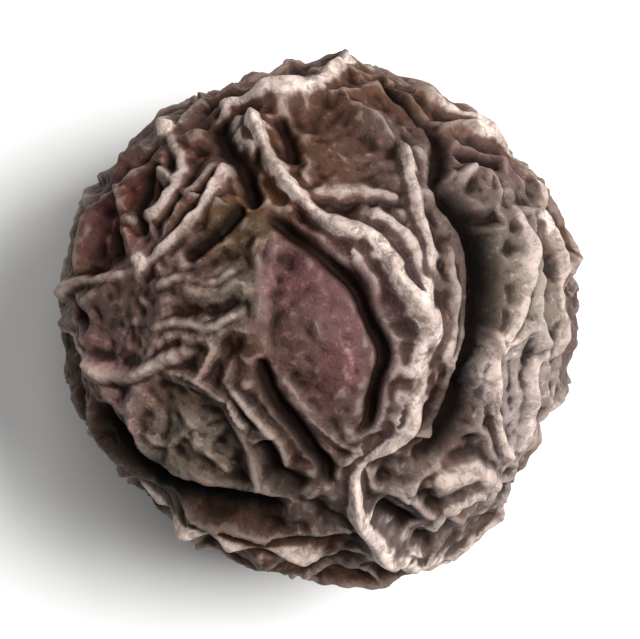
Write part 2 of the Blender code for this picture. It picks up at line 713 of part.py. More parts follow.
def main():
    for old in list(bpy.data.objects):
        bpy.data.objects.remove(old)
    collection = bpy.data.collections.new("Black peppercorn")
    bpy.context.scene.collection.children.link(collection)
    mesh = thin_out(corn_mesh(), TRIANGLES)
    cut_foot(mesh)
    mesh.name = "peppercorn"
    mesh.shade_smooth()
    mesh.set_sharp_from_angle(angle=math.radians(SHARP_ANGLE))
    mesh.materials.append(skin_material())
    collection.objects.link(bpy.data.objects.new("peppercorn", mesh))


if __name__ == "__main__":
    main()
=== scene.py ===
"""The looks of a dried black peppercorn, on a plain pale floor in soft light.

The skin is a fine sphere moved out by the formula of the part's own solid, with pleats, creases, pores and
grain added. Lengths are in millimetres until the skin is moved to the frame, which is in metres.
"""

import math
from typing import NamedTuple

import bmesh
import bpy
import numpy as np
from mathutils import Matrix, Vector, kdtree, noise


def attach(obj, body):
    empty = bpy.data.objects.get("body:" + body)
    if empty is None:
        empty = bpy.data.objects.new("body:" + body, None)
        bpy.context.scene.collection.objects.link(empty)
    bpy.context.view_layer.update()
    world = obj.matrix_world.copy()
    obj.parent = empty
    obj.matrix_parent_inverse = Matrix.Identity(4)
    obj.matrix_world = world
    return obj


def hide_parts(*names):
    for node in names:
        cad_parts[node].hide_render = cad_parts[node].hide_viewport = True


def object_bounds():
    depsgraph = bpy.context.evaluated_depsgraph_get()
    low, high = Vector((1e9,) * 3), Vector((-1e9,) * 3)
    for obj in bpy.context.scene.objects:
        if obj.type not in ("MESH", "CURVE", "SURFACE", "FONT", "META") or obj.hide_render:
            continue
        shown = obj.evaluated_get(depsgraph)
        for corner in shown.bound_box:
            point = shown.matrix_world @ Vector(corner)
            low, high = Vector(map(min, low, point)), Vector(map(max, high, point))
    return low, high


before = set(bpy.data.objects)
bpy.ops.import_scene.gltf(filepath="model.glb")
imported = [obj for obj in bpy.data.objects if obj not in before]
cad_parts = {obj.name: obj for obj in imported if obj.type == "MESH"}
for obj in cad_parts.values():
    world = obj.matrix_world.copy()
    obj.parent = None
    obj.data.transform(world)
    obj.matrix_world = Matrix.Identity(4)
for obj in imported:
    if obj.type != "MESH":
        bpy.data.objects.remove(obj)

CAD_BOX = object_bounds()

NODE = "peppercorn"
BODY = "root"

MM = 0.001
SEED = 497

# Body
BODY_RADIUS = 2.54
BODY_STRETCH = (1.0, 0.995, 0.945)

# Flat spot that the corn rests on: how far it is under the body's middle, the gap that the crests round it
# keep over the surface, how steeply down the skin faces where the hollows run out, and how little it faces
# down where nothing holds the crests back
FOOT_DEPTH = 2.25
FOOT_CLEARANCE = 0.03
FOOT_LEVEL = (0.90, 0.96)
FOOT_SIDE = 0.5

# Noises: height, waves that fit along the radius, and which pattern of many it is. The patterns lie along
# one slanting line, and the three noises of a drift lie apart on it.
PATTERN_LINE = (1.0, 2.3, -1.7)
DRIFT_APART = 17.0
LUMPS = (0.07, 1.4, 3.0)
WANDER_SLOW = (0.085, 1.9, 5.0)
WANDER_QUICK = (0.035, 5.2, 14.0)
CREST_SLOW = (0.45, 2.1, 31.0)
CREST_QUICK = (0.22, 7.5, 43.0)
WRINKLE_BEND = (0.08, 4.0, 61.0)
WRINKLES = (2.4, 6.5, 71.0)
WRINKLE_PATCHES = (1.0, 3.0, 83.0)
STALK_BEND = (0.12, 3.0, 97.0)
FINE_BEND = (0.05, 6.0, 113.0)
FINE_PATCHES = (1.1, 2.6, 127.0)
BEADS = (0.25, 8.0, 223.0)
LONG_BEADS = (1.1, 6.3, 263.0)
LONG_SWELLS = (1.3, 3.6, 269.0)

# Net of crests
CREST_HEIGHT = 0.20
CREST_TIP_RADIUS = 0.055
CREST_FLANK = (0.06, 0.13)
CREST_SHARE = 0.82
CREST_SHARE_LIMITS = (0.40, 1.10)
TRENCH_DEPTH = (0.02, 0.17)
TRENCH_FROM_CREST = 0.18
CELL_SINK = (-0.04, 0.26)
CELL_BLEND = 0.42
CELL_SOFTNESS = 0.07
RUN_BLEND = 0.02

# Fine net inside the cells
FINE_CREST_HEIGHT = 0.085
FINE_CREST_FLANK = 0.055
FINE_CREST_TIP_RADIUS = 0.03
FINE_CELL = 0.56
FINE_SHARE = 0.65
FINE_FROM_CREST = (0.02, 0.25)

# Wrinkles inside the cells
WRINKLE_HEIGHT = 0.07
WRINKLE_SHARE = 0.5
WRINKLE_FROM_CREST = (0.05, 0.35)

# Scars of the stalk and of the flower's tip, at opposite ends
TIP_SCAR_AT = (0.46, 0.77)
STALK_SCAR_RADIUS = 0.44
STALK_RIM_HEIGHT = 0.16
STALK_RIM_WIDTH = 0.11
STALK_PIT_DEPTH = 0.10
STALK_PIT_FLOOR = 0.5
STALK_CLEAR = (0.6, 1.7)
TIP_SCAR_RADIUS = 0.20
TIP_PIT_DEPTH = 0.16

# Cells on the photographed side. Each is a run of spots, and a spot is how far right and up it is from
# the middle of the corn's disc, and how far it reaches, all as shares of the disc's radius.
FACE_CELLS = {
    "diamond": ((-0.07, 0.20, 0.13), (0.00, 0.00, 0.20), (0.06, -0.24, 0.14)),
    "inner strip": ((0.14, 0.19, 0.04), (0.25, 0.06, 0.05), (0.31, -0.09, 0.04), (0.28, -0.26, 0.04)),
    "top": ((0.10, 0.65, 0.17), (0.22, 0.44, 0.12)),
    "ribbon": ((0.42, 0.46, 0.08), (0.50, 0.28, 0.08), (0.53, 0.10, 0.07), (0.51, -0.08, 0.07)),
    "ribbon foot": ((0.46, -0.21, 0.06), (0.42, -0.35, 0.05)),
    "deep fold": ((0.52, 0.46, 0.04), (0.61, 0.27, 0.04), (0.61, 0.05, 0.04), (0.56, -0.18, 0.04)),
    "small diamond": ((0.62, 0.49, 0.09),),
    "flange": ((0.75, 0.27, 0.10), (0.77, 0.08, 0.10)),
    "flange edge": ((0.88, 0.28, 0.09), (0.90, 0.08, 0.10), (0.91, -0.10, 0.08)),
    "flange foot": ((0.79, -0.24, 0.12), (0.80, -0.42, 0.10)),
    "right shoulder": ((0.76, 0.52, 0.08), (0.62, 0.68, 0.07)),
    "top right": ((0.32, 0.80, 0.12),),
    "lower right": ((0.50, -0.64, 0.13), (0.64, -0.62, 0.08)),
    "arc": ((0.29, -0.76, 0.07), (0.42, -0.81, 0.07)),
    "pocket": ((0.38, -0.52, 0.07),),
    "bottom middle": ((0.01, -0.68, 0.13),),
    "strip": ((-0.18, -0.33, 0.06), (-0.07, -0.50, 0.06)),
    "olive": ((-0.51, -0.37, 0.17), (-0.37, -0.50, 0.15)),
    "slant": ((-0.34, -0.17, 0.09),),
    "slot": ((-0.31, 0.09, 0.09), (-0.47, 0.03, 0.08)),
    "slot below": ((-0.45, -0.13, 0.08),),
    "wedge": ((-0.27, 0.26, 0.11), (-0.43, 0.18, 0.08)),
    "left": ((-0.66, 0.05, 0.11), (-0.75, -0.09, 0.12)),
    "left shoulder": ((-0.79, 0.28, 0.14),),
    "ring": ((-0.64, 0.46, 0.13),),
    "upper left": ((-0.45, 0.62, 0.13),),
    "brown hollow": ((-0.21, 0.52, 0.10),),
    "top left": ((-0.38, 0.78, 0.08),),
    "top edge": ((-0.16, 0.94, 0.10), (0.04, 0.97, 0.10)),
    "bottom": ((-0.38, -0.68, 0.11), (-0.18, -0.72, 0.11)),
    "left foot": ((-0.78, -0.42, 0.14),),
}

# How far each named cell sinks. The others draw theirs.
FACE_SINKS = {
    "diamond": -0.05,
    "inner strip": -0.03,
    "top": 0.03,
    "ribbon": 0.02,
    "deep fold": 0.20,
    "small diamond": 0.0,
    "flange": 0.06,
    "flange foot": -0.02,
    "lower right": -0.08,
    "pocket": 0.22,
    "brown hollow": 0.18,
    "ring": 0.12,
    "olive": 0.08,
    "slot": 0.12,
    "slot below": 0.12,
    "strip": 0.10,
}

# How much of the fine net shows on each named cell. The others draw theirs.
FACE_FINE = {
    "diamond": 0.25,
    "top": 0.45,
    "flange": 0.25,
    "flange edge": 0.4,
    "inner strip": 0.5,
}
FINE_DRAWN = (0.5, 1.3)

# Long crests on the photographed side: height in millimetres, how pale it is, which is worn paleness with
# painted highlight, half its width in millimetres, and its spots
CRESTS = {
    "main": (
        (0.19, 0.90, 0.08),
        (
            (-0.24, 0.76), (-0.22, 0.70), (-0.15, 0.57), (-0.09, 0.47),
            (0.02, 0.37), (0.12, 0.31), (0.23, 0.28), (0.29, 0.20),
        ),
    ),
    "main middle": (
        (0.20, 0.88, 0.21),
        (
            (0.08, 0.35), (0.20, 0.28), (0.27, 0.20), (0.31, 0.11),
            (0.36, 0.03), (0.40, -0.07), (0.38, -0.17), (0.36, -0.26),
        ),
    ),
    "main lower": (
        (0.19, 0.80, 0.12),
        (
            (0.41, 0.02), (0.42, -0.08), (0.38, -0.18), (0.38, -0.28), (0.33, -0.39),
            (0.25, -0.47), (0.17, -0.54), (0.14, -0.64), (0.17, -0.74),
        ),
    ),
    "main web": ((0.15, 0.65, 0.19), ((0.20, 0.40), (0.30, 0.33), (0.37, 0.22), (0.39, 0.08))),
    "loop": (
        (0.18, 1.20, 0.18),
        (
            (0.18, -0.53), (0.14, -0.64), (0.17, -0.74), (0.24, -0.83),
            (0.32, -0.89), (0.42, -0.90), (0.53, -0.86), (0.62, -0.77),
        ),
    ),
    "ribbon": (
        (0.14, 0.75, 0.13),
        ((0.32, 0.66), (0.35, 0.51), (0.37, 0.36), (0.41, 0.26), (0.40, 0.14), (0.36, 0.02)),
    ),
    "ribbon edge": ((0.07, 0.35, 0.06), ((0.50, 0.26), (0.50, 0.12), (0.52, -0.02), (0.49, -0.12))),
    "top": (
        (0.17, 1.00, 0.13),
        ((-0.38, 0.80), (-0.28, 0.82), (-0.14, 0.81), (-0.02, 0.84), (0.07, 0.90), (0.14, 0.97)),
    ),
    "top foot": ((0.07, 0.45, 0.08), ((-0.03, 0.44), (0.08, 0.48), (0.20, 0.48), (0.32, 0.44))),
    "upper left": (
        (0.14, 0.80, 0.08),
        ((-0.67, 0.18), (-0.57, 0.27), (-0.46, 0.36), (-0.37, 0.46), (-0.32, 0.58)),
    ),
    "ring": (
        (0.12, 0.60, 0.06),
        ((-0.62, 0.79), (-0.55, 0.71), (-0.47, 0.60), (-0.52, 0.46), (-0.60, 0.36), (-0.72, 0.38)),
    ),
    "left": (
        (0.12, 0.65, 0.075),
        (
            (-0.97, -0.03), (-0.90, -0.10), (-0.83, -0.17), (-0.76, -0.22),
            (-0.66, -0.21), (-0.57, -0.15), (-0.48, -0.11),
        ),
    ),
    "left rim": ((0.12, 0.55, 0.07), ((-0.96, 0.08), (-0.89, 0.16), (-0.78, 0.14), (-0.66, 0.20))),
    "bar": ((0.05, 0.22, 0.06), ((-0.60, -0.05), (-0.49, 0.00), (-0.38, -0.04), (-0.28, 0.02))),
    "bar above": ((0.05, 0.26, 0.06), ((-0.60, 0.12), (-0.50, 0.17), (-0.38, 0.13), (-0.28, 0.19))),
    "slope": ((0.10, 0.30, 0.05), ((-0.30, -0.24), (-0.22, -0.35), (-0.14, -0.44), (-0.09, -0.55))),
    # This crest is made paler as painted light, for it faces away from the key lamp
    "bottom": (
        (0.16, 0.90, 0.13),
        (
            (-0.70, -0.62), (-0.60, -0.73), (-0.50, -0.78), (-0.38, -0.80),
            (-0.26, -0.85), (-0.12, -0.87), (0.06, -0.91),
        ),
    ),
    "shoulder": (
        (0.16, 0.90, 0.10),
        ((0.40, 0.86), (0.50, 0.81), (0.62, 0.72), (0.71, 0.65), (0.79, 0.58), (0.85, 0.50), (0.89, 0.41)),
    ),
    "flange": (
        (0.12, 0.75, 0.09),
        ((0.73, 0.43), (0.77, 0.31), (0.78, 0.16), (0.77, 0.02), (0.71, -0.10)),
    ),
    "flange edge": (
        (0.12, 0.85, 0.09),
        ((0.87, 0.38), (0.92, 0.24), (0.93, 0.10), (0.93, -0.05), (0.89, -0.16)),
    ),
    "flange foot": (
        (0.15, 1.00, 0.11),
        ((0.70, -0.08), (0.67, -0.18), (0.66, -0.31), (0.69, -0.42), (0.72, -0.53)),
    ),
    "flange foot edge": (
        (0.11, 0.80, 0.09),
        ((0.90, -0.10), (0.82, -0.18), (0.81, -0.30), (0.81, -0.42), (0.75, -0.52)),
    ),
    "cup": (
        (0.11, 0.65, 0.13),
        ((0.43, -0.61), (0.52, -0.58), (0.62, -0.53), (0.68, -0.63), (0.66, -0.75)),
    ),
    "cup stripe": ((0.08, 0.70, 0.12), ((0.43, -0.80), (0.47, -0.72), (0.54, -0.66), (0.62, -0.61))),
    "diamond side": ((0.03, 0.10, 0.10), ((-0.17, 0.32), (-0.20, 0.20), (-0.20, 0.06), (-0.23, -0.08))),
    "small diamond": ((0.10, 0.45, 0.06), ((0.53, 0.52), (0.60, 0.58), (0.68, 0.54), (0.70, 0.44))),
}

# Folds there: depth and width in millimetres, and their spots
FOLDS = {
    "deep": (
        (0.46, 0.11),
        (
            (0.47, 0.56), (0.50, 0.47), (0.56, 0.40), (0.61, 0.32), (0.63, 0.16), (0.63, -0.01),
            (0.61, -0.11), (0.57, -0.20), (0.56, -0.32), (0.53, -0.41), (0.46, -0.49), (0.36, -0.55),
        ),
    ),
    "deep middle": ((0.16, 0.20), ((0.61, 0.36), (0.64, 0.24), (0.65, 0.10), (0.63, -0.06))),
    "right of diamond": (
        (0.22, 0.055),
        (
            (-0.20, 0.42), (-0.12, 0.34), (-0.02, 0.28), (0.08, 0.20), (0.15, 0.12),
            (0.20, 0.03), (0.25, -0.07), (0.27, -0.16), (0.23, -0.26), (0.22, -0.36), (0.15, -0.42),
        ),
    ),
    "left of diamond": (
        (0.22, 0.055),
        (
            (-0.22, -0.12), (-0.18, -0.21), (-0.13, -0.30), (-0.08, -0.38),
            (-0.02, -0.46), (0.05, -0.53), (0.05, -0.63),
        ),
    ),
    "under upper left": ((0.18, 0.065), ((-0.26, 0.44), (-0.37, 0.32), (-0.50, 0.23))),
    "brown": ((0.16, 0.08), ((-0.36, 0.77), (-0.34, 0.67), (-0.27, 0.55), (-0.21, 0.42))),
    "right of knob": ((0.13, 0.06), ((-0.13, 0.75), (-0.09, 0.67), (-0.08, 0.58))),
    "in the ring": ((0.14, 0.07), ((-0.58, 0.61), (-0.63, 0.53), (-0.66, 0.42), (-0.63, 0.32))),
    "above small diamond": ((0.16, 0.06), ((0.52, 0.62), (0.62, 0.60), (0.70, 0.57))),
    "below small diamond": ((0.16, 0.06), ((0.56, 0.42), (0.63, 0.37), (0.70, 0.40))),
    "slit": ((0.05, 0.05), ((0.74, -0.14), (0.74, -0.24), (0.74, -0.36))),
    "arc": ((0.15, 0.07), ((0.24, -0.69), (0.32, -0.74), (0.38, -0.79))),
    "dark spot": ((0.14, 0.09), ((-0.20, -0.44), (-0.16, -0.51), (-0.12, -0.58), (-0.02, -0.64))),
    "left edge": ((0.12, 0.07), ((-0.92, 0.04), (-0.86, -0.03))),
    "above bottom": (
        (0.22, 0.15),
        (
            (-0.82, -0.30), (-0.78, -0.41), (-0.70, -0.51), (-0.60, -0.61),
            (-0.50, -0.66), (-0.36, -0.68), (-0.22, -0.71), (-0.08, -0.74),
        ),
    ),
    "beside top": (
        (0.20, 0.07),
        ((0.21, 0.93), (0.29, 0.87), (0.35, 0.81), (0.43, 0.75), (0.48, 0.69), (0.46, 0.58), (0.45, 0.46)),
    ),
}
CREST_WANDER = 0.55
LONG_CREST_FLANK = 0.060
LONG_CREST_END = 0.35
CREST_TAPER = 0.14
WEB_CLEAR = 0.16
FOLD_SHAPE = 1.5
CORNER_CUT = 0.25
FACE_FROM = (0.10, 0.45)

# Furrows and ribs on the hidden sides: the noises that bend them and draw them, how much of them shows,
# and the noise of the patches that they show in
FURROWS = ((0.10, 3.1, 301.0), (7.0, 1.5, 307.0), 0.4, (1.8, 1.9, 311.0))
FURROW_DEPTH = 0.24
# How dark the painted shade in the furrows is
FURROW_SHADE = 0.8
RIBS = ((0.12, 2.8, 503.0), (6.0, 1.9, 509.0), 0.6, (1.6, 2.1, 521.0))
RIB_HEIGHT = 0.20
# How pale the ribs' tops are, worn paleness with painted highlight
RIB_PALENESS = 0.7

# Knobs on the crests: right, up and reach as above, and height in millimetres
KNOBS = (
    (-0.23, 0.70, 0.080, 0.09),
    (-0.09, 0.47, 0.055, 0.06),
    (0.23, 0.28, 0.055, 0.07),
    (0.36, 0.10, 0.055, 0.06),
    (0.44, -0.04, 0.045, 0.04),
    (0.19, -0.73, 0.055, 0.05),
    (0.30, -0.88, 0.050, 0.04),
    (0.48, -0.86, 0.050, 0.02),
    (0.62, 0.71, 0.055, 0.05),
    (0.86, 0.36, 0.050, 0.03),
    (0.73, -0.50, 0.050, 0.04),
    (0.72, -0.10, 0.045, 0.03),
    (-0.55, 0.71, 0.050, 0.05),
    (-0.65, 0.22, 0.040, 0.04),
    (0.13, 0.97, 0.080, 0.06),
)

# Lobes of the outline, and dents below 0: right, up, reach and height, as for the knobs
LOBES = (
    (-0.24, 0.97, 0.32, -0.16),
    (0.12, 0.99, 0.22, 0.07),
    (0.38, 0.91, 0.14, -0.06),
    (-0.78, 0.62, 0.20, -0.06),
    (-0.99, 0.00, 0.35, -0.07),
    (-0.80, -0.60, 0.42, -0.18),
    (-0.20, -0.98, 0.24, -0.14),
    (0.44, -0.90, 0.26, 0.12),
    (0.97, 0.10, 0.50, 0.06),
)

# Hidden cells: their reaches, from large to small, and the tries at placing one of each
HIDDEN_REACH = (0.28, 0.10)
HIDDEN_STEPS = 26
HIDDEN_TRIES = 160
HIDDEN_OVERLAP = 0.80
HIDDEN_TOP = 0.40
SMALL_CELL_REACH = 0.15
SMALL_CELL_EXTRA_SINK = 0.12

# Finest detail, which only the looks have. The pleats run across the crests.
PLEATS = (0.020, 15.0, 211.0)
PLEAT_SHARE = 0.5
PLEAT_PATCHES = (0.9, 3.4, 217.0)
PLEAT_RISE = (0.02, 0.10)
PLEAT_FALL = (0.14, 0.42)
LEAN = (0.030, 2.7, 227.0)
FLOOR_BEND = (0.035, 8.0, 233.0)
FLOOR_WRINKLES = (2.2, 12.0, 239.0)
FLOOR_WRINKLE_HEIGHT = 0.024
FLOOR_SHARE = 0.5
FLOOR_PATCHES = (0.8, 3.7, 241.0)
PORE_CELL = 0.24
PORE_RADIUS = 0.05
PORE_DEPTH = 0.020
PORE_SHARE = 0.0
PORE_PATCHES = (1.6, 2.9, 251.0)
GRAIN = (0.026, 24.0, 257.0)

# Grid, the triangles that are kept of it, and how many points are worked out at a time
GRID_LEVEL = 8
TRIANGLES = 196000
BLOCK = 20000
SMOOTHING = 0.35
WELD = 0.004

# Skin colours of the photograph's cells
TINTS = {
    "plum": (0.062, 0.027, 0.024),
    "rose": (0.077, 0.034, 0.036),
    "mauve": (0.087, 0.052, 0.049),
    "dove": (0.106, 0.080, 0.077),
    "cream": (0.159, 0.134, 0.107),
    "ash": (0.230, 0.184, 0.175),
    "olive": (0.112, 0.090, 0.070),
    "moss": (0.052, 0.039, 0.023),
    "umber": (0.068, 0.024, 0.008),
    "wine": (0.068, 0.016, 0.016),
    # Near black. On the face cells in the deep fold and across the lower half it is painted shade over the
    # dark skin; on hidden cells it is the skin's own dark tone.
    "charcoal": (0.014, 0.008, 0.007),
    # The left cell's plum, made lighter as painted light, for that side faces away from the key lamp
    "rubbed_and_lit": (0.500, 0.270, 0.255),
    "slate": (0.100, 0.083, 0.082),
    "bark": (0.056, 0.027, 0.017),
}
FACE_TINTS = {
    "diamond": "rose",
    "inner strip": "mauve",
    "top": "bark",
    "ribbon": "dove",
    "ribbon foot": "charcoal",
    "deep fold": "charcoal",
    "small diamond": "mauve",
    "flange": "cream",
    "flange edge": "cream",
    "flange foot": "ash",
    "right shoulder": "mauve",
    "top right": "bark",
    "lower right": "ash",
    "arc": "dove",
    "pocket": "charcoal",
    "bottom middle": "charcoal",
    "strip": "charcoal",
    "olive": "olive",
    "slant": "charcoal",
    "slot": "olive",
    "wedge": "moss",
    # The left cell's tint is lightened as painted light
    "left": "rubbed_and_lit",
    "slot below": "slate",
    "left shoulder": "wine",
    "ring": "wine",
    "upper left": "umber",
    "brown hollow": "umber",
    "top left": "bark",
    "top edge": "bark",
    "bottom": "charcoal",
    "left foot": "charcoal",
}
HIDDEN_TINTS = ("plum", "mauve", "olive", "umber", "charcoal", "charcoal", "bark", "bark", "dove", "bark")
TINT_SOFTNESS = 0.16
TINT_RUNS = (2.0, 3.1, 401.0)
TINT_SHADE = 0.18

# Colours that the material lays over the tints
WARM = (0.085, 0.032, 0.015, 1.0)
SOOT = (0.024, 0.017, 0.015, 1.0)
WORN = (2.1, 2.0, 2.0, 1.0)
SPECK = (0.016, 0.007, 0.004, 1.0)
DUST = (2.6, 2.6, 2.6, 1.0)
# Painted shade in the hollows
HOLLOW_SHADE = (0.011, 0.004, 0.002, 1.0)
# Painted shade in the folds and furrows, near black
CREVICE_SHADE = (0.0016, 0.0006, 0.0004, 1.0)
# Painted shade in the grooves beside the crests
GROOVE_SHADE = (0.007, 0.0022, 0.0012, 1.0)
# Painted shade in the fine creases
CREASE_SHADE = (0.012, 0.005, 0.003, 1.0)
# Pale crests and knobs: worn paleness with painted highlight
PALE_RUB_AND_HIGHLIGHT_PINK = (0.665, 0.520, 0.490, 1.0)
PALE_RUB_AND_HIGHLIGHT_CREAM = (0.690, 0.590, 0.500, 1.0)
STAIN = (0.150, 0.098, 0.078, 1.0)
FINE_RUBBED = (0.340, 0.262, 0.222, 1.0)

# The material's noises: waves per millimetre, detail, roughness and distortion
BROAD_NOISE = (1.3, 4.0, 0.55, 0.4)
BLOTCH_NOISE = (4.1, 5.0, 0.62, 1.1)
SCURF_NOISE = (9.5, 5.0, 0.7, 0.6)
FLECK_NOISE = (17.0, 3.0, 0.6, 0.7)
COARSE_NOISE = (14.0, 4.0, 0.6, 0.0)
GRAIN_NOISE = (42.0, 2.0, 0.55, 0.0)

# How much of each colour shows: the two ends of a noise or a mark, and the share at each of them
WARM_SHARE = (0.42, 0.62, 0.0, 0.35)
SOOT_SHARE = (0.50, 0.74, 0.0, 0.40)
WORN_SHARE = (0.28, 0.44, 0.80, 0.0)
SPECK_SHARE = (0.56, 0.74, 0.0, 0.50)
DUST_SHARE = (0.28, 0.42, 0.60, 0.0)
HOLLOW_SHARE = (-0.80, 0.05, 0.90, 0.0)
CREVICE_SHARE = (0.05, 0.85, 0.0, 1.0)
OFF_CREST_SHARE = (0.0, 0.6, 1.0, 0.3)
GROOVE_SHARE = (-0.70, 0.0, 0.88, 0.0)
CREASE_SHARE = (-0.9, -0.1, 0.65, 0.0)
STAIN_SHARE = (0.44, 0.62, 0.0, 0.75)
RUB_AND_HIGHLIGHT_BY_EDGE = (-0.10, 0.35, 0.0, 1.0)
RUB_AND_HIGHLIGHT_BY_BLOTCH = (0.40, 0.72, 1.0, 0.60)
FINE_RUB_SHARE = (0.25, 1.0, 0.0, 0.35)
FINE_RUB_BY_EDGE = (-0.3, 0.4, 0.0, 1.0)
FINE_RUB_BY_FOLD = (0.0, 0.40, 1.0, 0.0)

# Gloss and bump. A bump is its distance in millimetres and its strength.
DULLNESS = (0.30, 0.70, 0.46, 0.70)
CREST_SHINE = 0.08
FOLD_DULLNESS = 0.30
SPECULAR_LEVEL = 0.10
COARSE_BUMP = (0.020, 0.8)
GRAIN_BUMP = (0.006, 0.7)

# Marks for the material: how many times the height is averaged with its neighbours, and what counts as
# full
FINE_MARK = (5, 0.010)
EDGE_MARK = (40, 0.070)
DEPTH_MARK = (320, 0.200)
# The pale lines on the net's crests, and the knobs: worn paleness with painted highlight
CREST_MARK_WIDTH = 0.045
MARK_SWELLS = (1.8, 3.3, 421.0)
WEB_PALENESS = 0.45
WEB_FACE_SHARE = 0.5
WEB_RUB_AND_HIGHLIGHT_PATCHES = (1.3, 3.9, 431.0)
WEB_RUB_AND_HIGHLIGHT_FULL = 0.06
WEB_RUB_AND_HIGHLIGHT_LEAST = 0.3
KNOB_PALENESS = 2.0
# Painted shade of the folds: the depth at which it is full, and how much wider than the fold it reaches
FOLD_FULL = 0.20
FOLD_SHADE = 1.6

# Stage
FLOOR_RADIUS = 0.8
FLOOR_SEGMENTS = 96
FLOOR_ROUGHNESS = 0.7
FLOOR_COLOUR = (0.86, 0.86, 0.855, 1.0)
WORLD_LIGHT = 0.036
WORLD_COLOUR = (1.0, 0.90, 0.84, 1.0)
KEY_LAMP = {"azimuth": 75.0, "elevation": 58.0, "away": 0.09, "size": 0.045, "power": 0.141}
TOP_LAMP = {"azimuth": -20.0, "elevation": 80.0, "away": 0.11, "size": 0.05, "power": 0.038}
CAMERA_LENS = 220.0
CAMERA_SENSOR = 36.0
CAMERA_REACH = 10.0
FRAME_SHARE = 0.84


class Net(NamedTuple):
    """The net's cells and what was drawn for them. Flank and trench hold one value for each two cells."""

    cells: list
    names: list
    sinks: np.ndarray
    fine: np.ndarray
    flank: np.ndarray
    trench: np.ndarray


class Borders(NamedTuple):
    """Where each point lies in the net. Edge is the nearest spot on the nearest border."""

    inside: np.ndarray
    distances: np.ndarray
    edge: np.ndarray


def smooth_step(low, high, values):
    """0 below low, 1 above high, and a smooth rise between them."""
    t = np.clip((values - low) / (high - low), 0.0, 1.0)
    return t * t * (3.0 - 2.0 * t)


def swell(points, wave):
    """Smooth noise between about plus and minus its height."""
    height, per_radius, pattern = wave
    spots = points * per_radius + pattern * np.array(PATTERN_LINE)
    return height * np.array([noise.noise(spot) for spot in spots.tolist()])


def drift(points, wave):
    """Three unlike noises side by side, which move a point about."""
    height, per_radius, pattern = wave
    patterns = [pattern + DRIFT_APART * k for k in range(3)]
    return np.stack([swell(points, (height, per_radius, each)) for each in patterns], axis=1)


def ridges(points, wave):
    """Noise with sharp crests: 1 on its lines and falling to 0 between them."""
    return 1.0 - np.minimum(1.0, np.abs(swell(points, wave)))


def patches(points, share, wave):
    """How far a detail shows, from 0 to 1, in patches round its usual share."""
    return np.clip(share + swell(points, wave), 0.0, 1.0)


def face_direction(right, up):
    """The direction of a spot on the photographed side."""
    return np.array((right, up, math.sqrt(max(0.0, 1.0 - right * right - up * up))))


def wander(points):
    """Moves the points about a little, so that what is laid out straight on the sphere comes out bent."""
    moved = points + drift(points, WANDER_SLOW) + drift(points, WANDER_QUICK)
    return moved / np.linalg.norm(moved, axis=1, keepdims=True)


def lay_cells(random):
    """Every cell as (name, spots, reaches, sink): those in the photograph, then hidden ones where there is
    room."""
    cells = []
    for name, run in FACE_CELLS.items():
        spots = np.array([face_direction(right, up) for right, up, _ in run])
        reaches = np.array([reach for _, _, reach in run])
        sink = FACE_SINKS.get(name, random.uniform(*CELL_SINK))
        cells.append((name, spots, reaches, sink))
    taken = np.concatenate([spots for _, spots, _, _ in cells])
    taken_reach = np.concatenate([reaches for _, _, reaches, _ in cells])
    for reach in np.linspace(*HIDDEN_REACH, HIDDEN_STEPS):
        for spot in random.normal(size=(HIDDEN_TRIES, 3)):
            spot = spot / np.linalg.norm(spot)
            apart = np.linalg.norm(taken - spot, axis=1)
            if spot[2] < HIDDEN_TOP and np.all(apart > HIDDEN_OVERLAP * (taken_reach + reach)):
                taken = np.vstack([taken, spot])
                taken_reach = np.append(taken_reach, reach)
                sink = random.uniform(*CELL_SINK) + SMALL_CELL_EXTRA_SINK * (reach < SMALL_CELL_REACH)
                cells.append(("hidden", spot[None, :], np.array([reach]), sink))
    return cells


def lay_net():
    random = np.random.default_rng(SEED)
    laid = lay_cells(random)
    count = len(laid)
    flank = random.uniform(*CREST_FLANK, size=(count, count))
    trench = random.uniform(*TRENCH_DEPTH, size=(count, count))
    fine = random.uniform(*FINE_DRAWN, size=count)
    fine = [FACE_FINE.get(name, drawn) for (name, _, _, _), drawn in zip(laid, fine)]
    return Net(
        cells=[(wander(spots), reaches) for _, spots, reaches, _ in laid],
        names=[name for name, _, _, _ in laid],
        sinks=np.array([sink for _, _, _, sink in laid]),
        fine=np.array(fine),
        flank=flank,
        trench=trench,
    )


def cell_fields(points, cells):
    """For each point and cell, how far the point is from it (squared, less its reach squared) and the
    spot that it is measured from. A run of spots counts as one long cell."""
    fields = np.empty((len(points), len(cells)))
    origins = np.empty((len(points), len(cells), 3))
    for k, (spots, reaches) in enumerate(cells):
        apart = ((points[:, None, :] - spots[None, :, :]) ** 2).sum(axis=2) - reaches**2
        least = apart.min(axis=1, keepdims=True)
        share = np.exp((least - apart) / RUN_BLEND)
        total = share.sum(axis=1, keepdims=True)
        fields[:, k] = (least - RUN_BLEND * np.log(total))[:, 0]
        origins[:, k] = (share / total) @ spots
    return fields, origins


def find_borders(points, cells):
    """The cell that each point is in, and its distance to the border with every other."""
    points = wander(points)
    fields, origins = cell_fields(points, cells)
    rows = np.arange(len(points))
    inside = fields.argmin(axis=1)
    gap = fields - fields[rows, inside][:, None]
    span = np.linalg.norm(origins - origins[rows, inside][:, None, :], axis=2)
    span[rows, inside] = 1.0
    distances = BODY_RADIUS * gap / (2.0 * span)
    distances[rows, inside] = np.inf
    beside = distances.argmin(axis=1)
    across = (origins[rows, beside] - origins[rows, inside]) / span[rows, beside][:, None]
    edge = points + across * (distances[rows, beside] / BODY_RADIUS)[:, None]
    return Borders(inside, distances, edge)


